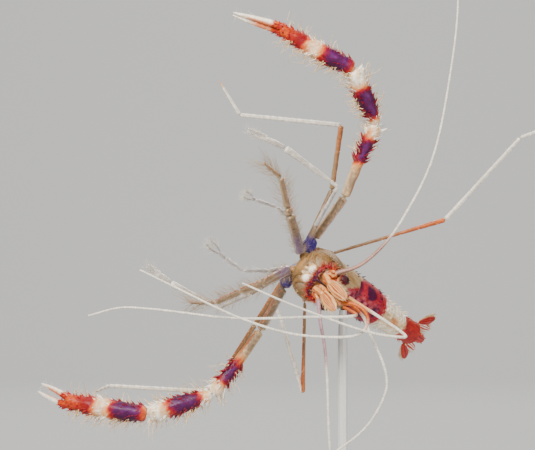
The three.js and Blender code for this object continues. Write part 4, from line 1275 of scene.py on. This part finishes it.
# Where the feelers' root pieces end, and where the scales start and end, on each side
ANTENNULE_TIP = {"right": vec(5, -11, -4), "left": vec(4.2, -11.2, -5.2)}
SCALE_ROOT = {"right": on_body([1.1, 10.5, 2.6]), "left": on_body([-1.15, 10.5, 2.75])}
SCALE_TIP = {"right": vec(5, -13.9, -4.3), "left": vec(3, -13.9, -6.4)}
ANTENNA_ROOT = {"right": vec(3.4, -8.6, 0.5), "left": vec(-0.1, -8.9, -4.5)}
SCALE_PALE = vec(0.76, 0.4, 0.15)
SCALE_DARK = vec(0.4, 0.065, 0.008)


def ribbed(pale, dark, ribs):
    """Uneven lengthwise streaks round a feeler's root."""

    def colour(run, turn, points):
        streak = 0.5 + 0.5 * np.cos(turn * ribs + 0.7 * np.sin(run * 5)) * np.cos(turn * 2 + 1.3)
        tint = mix(dark, pale, smooth(0.25, 0.6, streak)) * (0.85 + 0.3 * ripple(points, 0.8, 12))[..., None]
        return mix(tint, CREAM, 0.6 * (spot(run, 0, 0.06) + spot(run, 1, 0.06)))

    return colour


def make_feeler_roots():
    """Each antennule's three root pieces, each antenna's root piece, and its scale on a short stalk."""
    stripes = ribbed(PEACH, ORANGE * 0.8, 5)
    for side, way in SIDES:
        shape = Shape()
        root = on_body([way * 0.7, 7.2, 1.7])
        tip = ANTENNULE_TIP[side]
        elbow = root * 0.6 + tip * 0.4 + FORWARD * 0.6 + RIGHT * way * 0.4
        wrist = elbow * 0.45 + tip * 0.55
        for start, end, radii in (
            (root, elbow, (0.75, 0.7, 0.66)),
            (elbow, wrist, (0.64, 0.66, 0.56)),
            (wrist, tip + unit(tip - wrist) * 0.3, (0.56, 0.55, 0.45)),
        ):
            limb = article(shape, start, end, radii, stripes, sides=30, lumps=0.12)
            thorn_row(shape, limb, 0.35, ORANGE, CREAM, turns=[0.5, 3.0], count=4)
        make_skin(shape, f"antennule_{side}", FACE_SHELL, "orange")

        shape = Shape()
        root = on_body([way * 1.9, 6.9, 1.8])
        limb = article(shape, root, ANTENNA_ROOT[side], (0.95, 0.85, 0.5), stripes, sides=30, lumps=0.1)
        thorn_row(shape, limb, 0.6, CRIMSON, ORANGE, turns=[0.2, 1.6, 2.8, 4.6], count=5,
                  span=(0.2, 0.9), jitter=0.5)
        make_skin(shape, f"antenna_base_{side}", FACE_SHELL, "orange")

        shape, coat = Shape(), Shape()
        root = SCALE_ROOT[side]
        stalk = on_body([way * 1.6, 7.9, 1.1])
        article(shape, stalk, root + unit(SCALE_TIP[side] - root) * 0.6, (0.6, 0.62, 0.55), stripes, sides=24)
        ridged_blade(shape, coat, root, SCALE_TIP[side], 2.4, FORWARD, SCALE_PALE, SCALE_DARK, way, 11,
                     uneven=0.5)
        make_skin(shape, f"antenna_scale_{side}", FACE_SHELL, "orange", coat)


# How wide a blade is, as shares of its greatest width, along its length
BLADE_RUN = [0, 0.12, 0.5, 0.8, 0.95, 1]
BLADE_WIDTH = [0.5, 0.78, 1, 0.8, 0.45, 0.15]


def ridged_blade(shape, coat, root, tip, width, facing, pale, dark, way, ridges, thick=0.3, hair=(0.5, 1.1),
                 hair_count=60, uneven=0.0):
    """A flat plate with lengthwise ridges, and a fringe along its inner edge and end.

    It faces along facing, and way (1 or -1) says on which side its outer edge lies.
    """
    along = unit(tip - root)
    across = unit(np.cross(along, facing)) * way
    up = unit(np.cross(across, along))
    up = up * np.sign(up @ facing)
    length = np.linalg.norm(tip - root)
    s, c = np.meshgrid(np.linspace(0, 1, 48), np.linspace(-1, 1, 90), indexing="ij")
    bent = c + 0.12 * np.sin(4.3 * c + root[0]) + 0.04 * np.sin(9 * s + 3 * c)
    if uneven:
        plane = np.stack([c, 0.4 * s, 0 * s], axis=-1)
        bent = bent + uneven * 0.16 * (ripple(plane, 0.28, 33) - 0.5)
    wave = np.cos(bent * ridges * math.pi / 2 + 0.5 * np.sin(2 * s)) * (0.7 + 0.3 * np.cos(5 * c + 1))
    wave = 0.5 + 0.5 * wave
    rounded = np.sqrt(np.clip(1 - c**2, 0, 1))
    body = thick / 2 * rounded * np.sqrt(np.clip(1 - (2 * s - 1) ** 8, 0, 1))
    lift = 0.09 * wave * rounded + 0.25 * (1 - c**2) * np.sin(math.pi * s)

    def flat_place(share, edge):
        half = 0.5 * width * np.interp(share, BLADE_RUN, BLADE_WIDTH)
        return root + along * (share * length)[..., None] + across * (edge * half)[..., None]

    top, under = (flat_place(s, c) + up * (lift + half)[..., None] for half in (body, -body))
    tint = mix(dark, pale, smooth(0.25, 0.75, wave)) * (0.85 + 0.3 * ripple(top, 0.7, 6))[..., None]
    tint = mix(tint, CREAM, 0.7 * smooth(0.8, 0.95, np.abs(c)))
    turned = np.dot(np.cross(along, across), up) > 0
    cloth(shape, top, tint, not turned)
    # painted shade: the underside is a darker copy of the top's colours
    cloth(shape, under, tint * 0.8, turned)
    draw = np.random.default_rng(int(abs(root[0] * 100)) + 9)
    share = draw.uniform(0.15, 1, hair_count)
    edge = np.where(share > 0.9, draw.uniform(-1, 0.3, hair_count), -1)
    ways = across * edge[:, None] * 0.7 + along * (0.6 + 0.6 * share)[:, None]
    ways = unit(ways + draw.normal(0, 0.12, (hair_count, 3)))
    places = np.stack([share, 0.5 + 0.4 * edge], axis=1)
    bends = draw.normal(0, 0.1, (hair_count, 3))
    lengths = draw.uniform(*hair, hair_count)
    bristles(coat, flat_place(share, edge), ways, bends, lengths, 0.022, CREAM, places)


# ---------------------------------------------------------------- abdomen
# Each ring: its length, how steeply it climbs towards the back in degrees, its half width, height and depth
RINGS = [
    (3.0, 34, 3.7, 3.6, 3.0),
    (4.8, 46, 3.65, 3.5, 3.3),
    (7.2, 50, 3.5, 3.4, 3.3),
    (4.5, 48, 3.0, 2.9, 2.9),
    (4.6, 44, 2.5, 2.4, 2.5),
    (6.0, 36, 2.0, 1.9, 1.8),
]
TELSON = (7.2, 28)  # its length and climb
# The rows of small spines on each ring, from its front edge (0) to its rear edge (1), and their length
RING_ROWS = [(0.9,), (0.35, 0.9), (0.25, 0.6, 0.93), (0.45, 0.93), (0.45, 0.93), (0.3, 0.6, 0.93)]
RING_SPINES = [0.5, 0.7, 0.75, 0.85, 0.85, 0.7]
TAIL_ROOT = vec(0, -HALF_LENGTH - 0.3, 0.2)
TAIL_TURN = math.radians(-2.5)  # how the tail swings towards the animal's left


def on_tail(points):
    """Places given along the tail's right, forward and upward directions, from its root."""
    points = np.asarray(points, dtype=float)
    c, s = math.cos(TAIL_TURN), math.sin(TAIL_TURN)
    x, y, z = points[..., 0], points[..., 1], points[..., 2]
    return on_body(np.stack([x * c - y * s, x * s + y * c, z], axis=-1) + TAIL_ROOT)


def tail_way(way):
    """A direction given along the tail's right, forward and upward directions."""
    return on_tail(way) - on_tail([0, 0, 0])


def ring_frames():
    """For each ring: its front, its backward way and its upward way, in the tail's own frame."""
    end = np.zeros(3)
    found = []
    for length, climb, *_ in [*RINGS, TELSON]:
        angle = math.radians(climb)
        back = vec(0, -math.cos(angle), math.sin(angle))
        found.append((end.copy(), back, vec(0, math.sin(angle), math.cos(angle))))
        end = end + back * length
    return found


def abdomen_colour(ring, s, turn, points):
    """The bands of the tail: crimson over the first rings, white over the next, red at the end."""
    speck = ripple(points, 0.9, 41)
    fleck = ripple(points, 0.35, 42)
    distance = np.abs(np.degrees(turn)) + 8 * (speck - 0.5)
    rich = mix(MAGENTA, CRIMSON, smooth(0.3, 0.7, speck))
    rich = mix(rich, vec(0.5, 0.03, 0.035), 0.6 * smooth(0.5, 0.75, ripple(points, 0.7, 8)))
    if ring in (1, 2):
        beads = 0.5 + 0.5 * np.cos(s * (4 if ring == 2 else 3) * ROUND)
        row = spot(distance, 0, 7)
        rich = mix(rich, vec(0.6, 0.16, 0.2), 0.7 * row * beads + 0.4 * spot(distance, 13, 5) * (1 - beads))
        rich = mix(rich, PURPLE, 0.85 * row * (1 - beads) ** 2)
    dots = smooth(0.72, 0.8, fleck)
    if ring == 2:
        stripe = spot(s + 0.06 * (fleck - 0.5), 0.16, 0.055) * band(10, 66, 5, distance)
        away = np.hypot((s - 0.6 + 0.1 * (fleck - 0.5)) / 0.21, (distance - 40) / 23)
        rear = spot(s, 0.93, 0.1) * spot(distance, 0, 16)
        rich = mix(rich, PURPLE, 0.97 * np.clip(stripe + (1 - smooth(0.8, 1.15, away)) + rear, 0, 1))
    rich = mix(rich, PURPLE, 0.7 * dots)
    rich = mix(rich, PURPLE, 0.75 * smooth(0.92, 0.98, s) * smooth(0.35, 0.6, speck))
    pale = mix(CREAM * 0.7, CREAM * 1.15, smooth(0.3, 0.65, speck))
    # painted glints: white flecks and a whiter band along the flanks, partly the shell's own white and partly
    # painted highlight
    painted_glints = band(26, 84, 10, distance) * smooth(0.5, 0.62, fleck)
    pale = mix(pale, WHITE * 1.2, np.clip(painted_glints + 0.35 * band(30, 80, 15, distance), 0, 1))
    if ring == 4:
        pale = mix(pale, ORANGE, 0.8 * spot(distance, 0, 20) * spot(s, 0.35, 0.22))
    flesh = mix(TAN, CREAM * 0.65, speck)
    if ring == 0:
        return flesh
    if ring == 1:
        start = 0.45 + 0.9 * smooth(8, 45, distance) + 0.25 * (fleck - 0.5)
        return mix(flesh, rich, smooth(start - 0.08, start + 0.08, s))
    if ring == 2:
        start = 0.45 * smooth(40, 80, distance) - 0.1 + 0.12 * (fleck - 0.5)
        return mix(flesh, rich, smooth(start - 0.05, start + 0.05, s))
    if ring == 3:
        return mix(rich, pale, smooth(0.42, 0.6, s + 0.3 * (fleck - 0.5)))
    if ring == 4:
        return pale
    if ring == 5:
        red = mix(mix(SCARLET, CRIMSON, speck), PURPLE, 0.6 * dots)
        return mix(pale, red, smooth(0.02, 0.25, s + 0.2 * (fleck - 0.5)))
    return rich


def ring_surface(index, s, turn):
    """A place on a ring's shell. s runs from its front edge (0) to its rear edge (1)."""
    front, back, up = ring_frames()[index]
    length, _, width, above, below = RINGS[index]
    behind = RINGS[min(index + 1, len(RINGS) - 1)]

    def flared(size, next_size):
        wider = (0.5 * (next_size - size) + 0.12) * smooth(0.35, 1.1, s)
        return size + wider - 0.42 * (1 - smooth(-0.1, 0.25, s))

    hoop = 0.08 * np.sin(math.pi * np.clip(s, 0, 1))
    belly = below + 0.35 * np.sin(math.pi * np.clip(s, 0, 1)) - 0.3
    x = (flared(width, behind[2]) + hoop) * np.sin(turn)
    z = np.where(np.cos(turn) > 0, flared(above, behind[3]) + hoop, belly) * np.cos(turn)
    droop = smooth(75, 118, np.abs(np.degrees(turn)))
    run = (s + 0.12 * droop * (s - 0.2)) * length
    base = front + back * run[..., None] + up * z[..., None]
    base[..., 0] += x
    return base


def make_abdomen():
    """Six rings of shell, each with its bands and rows of spines, over one body of flesh."""
    spines = Shape()
    for index in range(len(RINGS)):
        reach = math.radians(122 if index < 5 else 150)
        s, turn = np.meshgrid(np.linspace(-0.08, 1.07, 34), np.linspace(-reach, reach, 96), indexing="ij")
        points = ring_surface(index, s, turn)
        shape = Shape()
        cloth(shape, on_tail(points), abdomen_colour(index, s, turn, points), True)
        ring_thorns(spines, index)
        slot = "shell_white" if index in (3, 4) else "shell_red"
        node = f"abdomen_{index + 1}"
        thicken(shape.make(f"skin_{node}", BODY_SHELL, slot, [node]), 0.24)
    spines.make("spines_tail", BODY_SHELL, "shell_red")
    make_tail_flesh()
    make_swimmerets()
    make_tail_fan()


def ring_thorns(shape, index):
    """The rows of spines over the back of a tail ring."""
    front, back, _ = ring_frames()[index]
    draw = np.random.default_rng(60 + index)
    for row in RING_ROWS[index]:
        count = 15 if row > 0.8 else 13
        turns = np.radians(np.linspace(-88, 88, count)) + draw.normal(0, 0.03, count)
        s = row + draw.normal(0, 0.02, count)
        roots = ring_surface(index, s, turns)
        middle = front + back * (s * RINGS[index][0])[:, None]
        ways = unit(roots - middle) * 0.9 + back
        tint = abdomen_colour(index, s, turns, roots)
        margin = smooth(0.75, 1.15, np.abs(turns))
        dark = mix(tint, PURPLE, 0.8 * margin) if index in (1, 2) else tint
        crimson_tip = mix(PEACH * 0.5, PURPLE * 0.8, margin)
        light = (CREAM, crimson_tip, crimson_tip, WHITE * 1.1, WHITE * 1.1, ORANGE)[index]
        size = RING_SPINES[index] * draw.uniform(0.75, 1.25, count) * (0.5 + 0.9 * margin)
        thorns(shape, on_tail(roots), tail_way(ways), size, 0.15 * size + 0.04, dark, light)


def make_tail_flesh():
    """The soft underside and the muscle inside the rings, one body so that no gap shows between plates."""
    middles, sizes = [], []
    *rings, telson = ring_frames()
    for (front, back, _), (length, _, width, above, below) in zip(rings, RINGS):
        for share in (0.0, 0.5):
            middles.append(front + back * length * share)
            sizes.append((0.86 * width, 0.8 * above, 0.78 * below))
    front, back, _ = telson
    middles.append(front + back * 0.5)
    sizes.append((1.5, 1.2, 1.0))
    count, sides = 90, 32
    line = curve_through(middles, count)
    run = np.linspace(0, len(sizes) - 1, count)
    wide, high, low = (np.interp(run, np.arange(len(sizes)), size)[:, None] for size in zip(*sizes))
    end = np.minimum(np.arange(count), np.arange(count)[::-1]) / 3
    angles = np.linspace(0, ROUND, sides, endpoint=False)
    tall = np.where(np.sin(angles) > 0, high, low)
    radii = np.hypot(wide * np.cos(angles), tall * np.sin(angles)) * dome(end, 0.1)[:, None]

    def colour(run, turn, points):
        return mix(TAN * 1.1, PEACH * 0.8, ripple(points, 1.2, 3))

    shape = Shape()
    sweep(shape, on_tail(line), radii, colour, sides=sides, reference=RIGHT)
    shape.make("tail_flesh", FACE_SHELL, "limb_clear")


def make_swimmerets():
    """Five pairs of two-bladed paddles under the tail."""
    shape, coat = Shape(), Shape()
    tint = limb_colours(CREAM * 0.75, PEACH, WHITE)
    for index, (front, back, up) in enumerate(ring_frames()[:5]):
        length, _, width, _, below = RINGS[index]
        for _, way in SIDES:
            def place(aside, depth, behind=0.0):
                return on_tail(front + back * (length * 0.5 + behind) + vec(way * aside, 0, 0) - up * depth)

            root = place(0.45 * width, 0.72 * below)
            knee = place(0.5 * width, below + 1.0, 0.3)
            article(shape, root, knee, (0.55, 0.55, 0.5), tint, sides=12)
            for spread in (0.35, -0.35):
                tip = place(0.52 * width + spread, below + 2.9, 1.2 + 0.5 * spread)
                limb = article(shape, knee, tip, (0.32, 0.5, 0.22), tint, sides=12, flat=0.4)
                hairs(coat, limb, 26, (0.35, 0.8), 0.15, index * 4 + 200, lean=0.9, radius=0.02,
                      tint=CREAM, angles=[0, math.pi], where=0.15 * index)
    shape.make("swimmerets", GLASS_LIMB, "limb_clear")
    coat.make("fringe_swimmerets", BRISTLE, "limb_clear", coat=True)


def make_tail_fan():
    """The telson, and a short stem with two blades on each side of it."""
    front, back, up = ring_frames()[-1]
    length = TELSON[0]
    facing = tail_way(up)

    def place(behind, aside, rise):
        return on_tail(front + back * behind + vec(aside, 0, 0) + up * rise)

    shape, coat = Shape(), Shape()
    ridged_blade(shape, coat, place(-0.3, 0, 0.25), place(length, 0, 0), 2.6, facing, SCARLET * 1.1, CRIMSON,
                 1, 6, thick=0.8, hair_count=40)
    for way in (1, -1):
        for share in (0.3, 0.5, 0.7, 0.88):
            root = place(length * share, way * (1.05 - 0.5 * share), 0.4)
            slant = tail_way(back + up * 0.7 + vec(way * 0.5, 0, 0))
            thorns(shape, [root], slant, 0.55, 0.12, SCARLET, WHITE)
    make_skin(shape, "telson", BODY_SHELL, "shell_red", coat)

    def stem_colour(run, turn, points):
        return mix(SCARLET, CRIMSON, ripple(points, 1, 4))

    for side, way in SIDES:
        shape, coat = Shape(), Shape()
        joint = place(1.4, way * 2.05, -0.3)
        article(shape, place(0.3, way * 1.5, -0.2), joint, (0.6, 0.65, 0.55), stem_colour)
        inner = place(length * 0.98, way * 2.5, -0.3)
        outer = place(length * 0.92, way * 4.9, -0.5)
        outer_root = joint + tail_way([way * 0.4, 0, 0])
        ridged_blade(shape, coat, joint, inner, 2.0, facing, WHITE * 0.95, SCARLET, way, 7,
                     hair=(0.5, 1.0), hair_count=70)
        ridged_blade(shape, coat, outer_root, outer, 2.5, facing, SCARLET, CRIMSON, way, 9,
                     hair=(0.5, 1.0), hair_count=80)
        make_skin(shape, f"uropod_{side}", BODY_SHELL, "shell_red", coat)


# ---------------------------------------------------------------- stand
def make_stand():
    """Plain grey for the two CAD solids of the stand, which show as they are."""
    paint = Paint("stand_grey")
    _, grain = paint.noise(0.5, 6)
    tone = paint.node("ValToRGB", {"Fac": grain})["Color"]
    dark, light = tone.node.color_ramp.elements
    dark.color, light.color = (0.6, 0.6, 0.58, 1), (0.7, 0.7, 0.68, 1)
    grey = paint.skin({"Base Color": tone, "Normal": paint.bump(grain, 0.08, 0.05), "Roughness": 0.35})
    for node in ("stand_base", "stand_rod"):
        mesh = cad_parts[node].data
        mesh.materials.clear()
        mesh.materials.append(grey)


# ---------------------------------------------------------------- studio
VIEW_DISTANCE = 600.0
VIEW_WIDTH = 101.65  # what the picture's width spans at the body, in millimetres
VIEW_CENTRE = vec(-9.6, 0, 9.5)  # from the body's middle
SENSOR = 36.0
FLOOR_NEAR, FLOOR_FAR = -1300, 800  # the floor is flat between these, in millimetres
SWEEP = 500  # and then curves up into the wall with this radius
LAMP_COLOUR = (1, 0.96, 0.9)
LAMP_AIM = BODY_CENTRE + vec(0, 0, 5)
# Each lamp's place and aim in the row frame, its power in watts and its width, all lengths in millimetres
LAMPS = {
    "key": ((-160, -320, 330), LAMP_AIM, 4.0, 150),
    "fill": ((300, -300, 120), LAMP_AIM, 1.0, 220),
    "rim": ((120, 220, 260), LAMP_AIM, 0.45, 160),
    "wash": ((0, 420, 800), (0, 1250, 100), 14.0, 500),
}


def make_studio():
    """The camera of the photo's view, a paper floor that curves up behind, the lamps and a dim warm sky."""
    scene = bpy.context.scene
    camera_data = bpy.data.cameras.new("camera")
    camera_data.sensor_width = SENSOR
    camera_data.lens = SENSOR * VIEW_DISTANCE / VIEW_WIDTH
    camera_data.clip_start = 0.01
    camera_data.clip_end = 20
    camera = bpy.data.objects.new("camera", camera_data)
    camera.location = (BODY_CENTRE + VIEW_CENTRE + vec(0, -VIEW_DISTANCE, 0)) * MM
    camera.rotation_euler = (math.radians(90), 0, 0)
    scene.collection.objects.link(camera)
    scene.camera = camera

    bend = np.linspace(0, math.pi / 2, 24)
    wall = FLOOR_FAR + SWEEP
    flat = np.linspace(FLOOR_NEAR, FLOOR_FAR, 8)
    depth = np.concatenate([flat, FLOOR_FAR + SWEEP * np.sin(bend), [wall, wall]])
    height = np.concatenate([0 * flat, SWEEP * (1 - np.cos(bend)), [SWEEP + 400, SWEEP + 1200]])
    grid = np.stack([np.stack([0 * depth + x, depth, height], axis=1) for x in (-1600, 1600)], axis=1)
    paper = Paint("paper").skin({
        "Base Color": (0.41, 0.42, 0.43, 1), "Roughness": 0.9, "Specular IOR Level": 0.1
    })
    floor = mesh_object("floor", grid.reshape(-1, 3), grid_quads(*grid.shape[:2], False), NO_TRIS, paper)

    world = bpy.data.worlds.new("studio")
    world.use_nodes = True
    sky = world.node_tree.nodes["Background"].inputs
    sky["Color"].default_value = (1, 0.98, 0.95, 1)
    sky["Strength"].default_value = 0.26
    scene.world = world
    for name, (place, aim, power, size) in LAMPS.items():
        lamp = bpy.data.lights.new(name, "AREA")
        lamp.energy = power
        lamp.color = LAMP_COLOUR
        lamp.size = size * MM
        holder = bpy.data.objects.new(name, lamp)
        holder.location = Vector(place) * MM
        holder.rotation_euler = (Vector(aim) * MM - holder.location).to_track_quat("-Z", "Y").to_euler()
        scene.collection.objects.link(holder)


make_studio()
make_feelers()
make_maxillipeds()
make_thin_clawed_legs()
make_walking_legs()
make_claw_arms()
make_carapace()
make_face()
make_eyes()
make_feeler_roots()
make_abdomen()
make_stand()
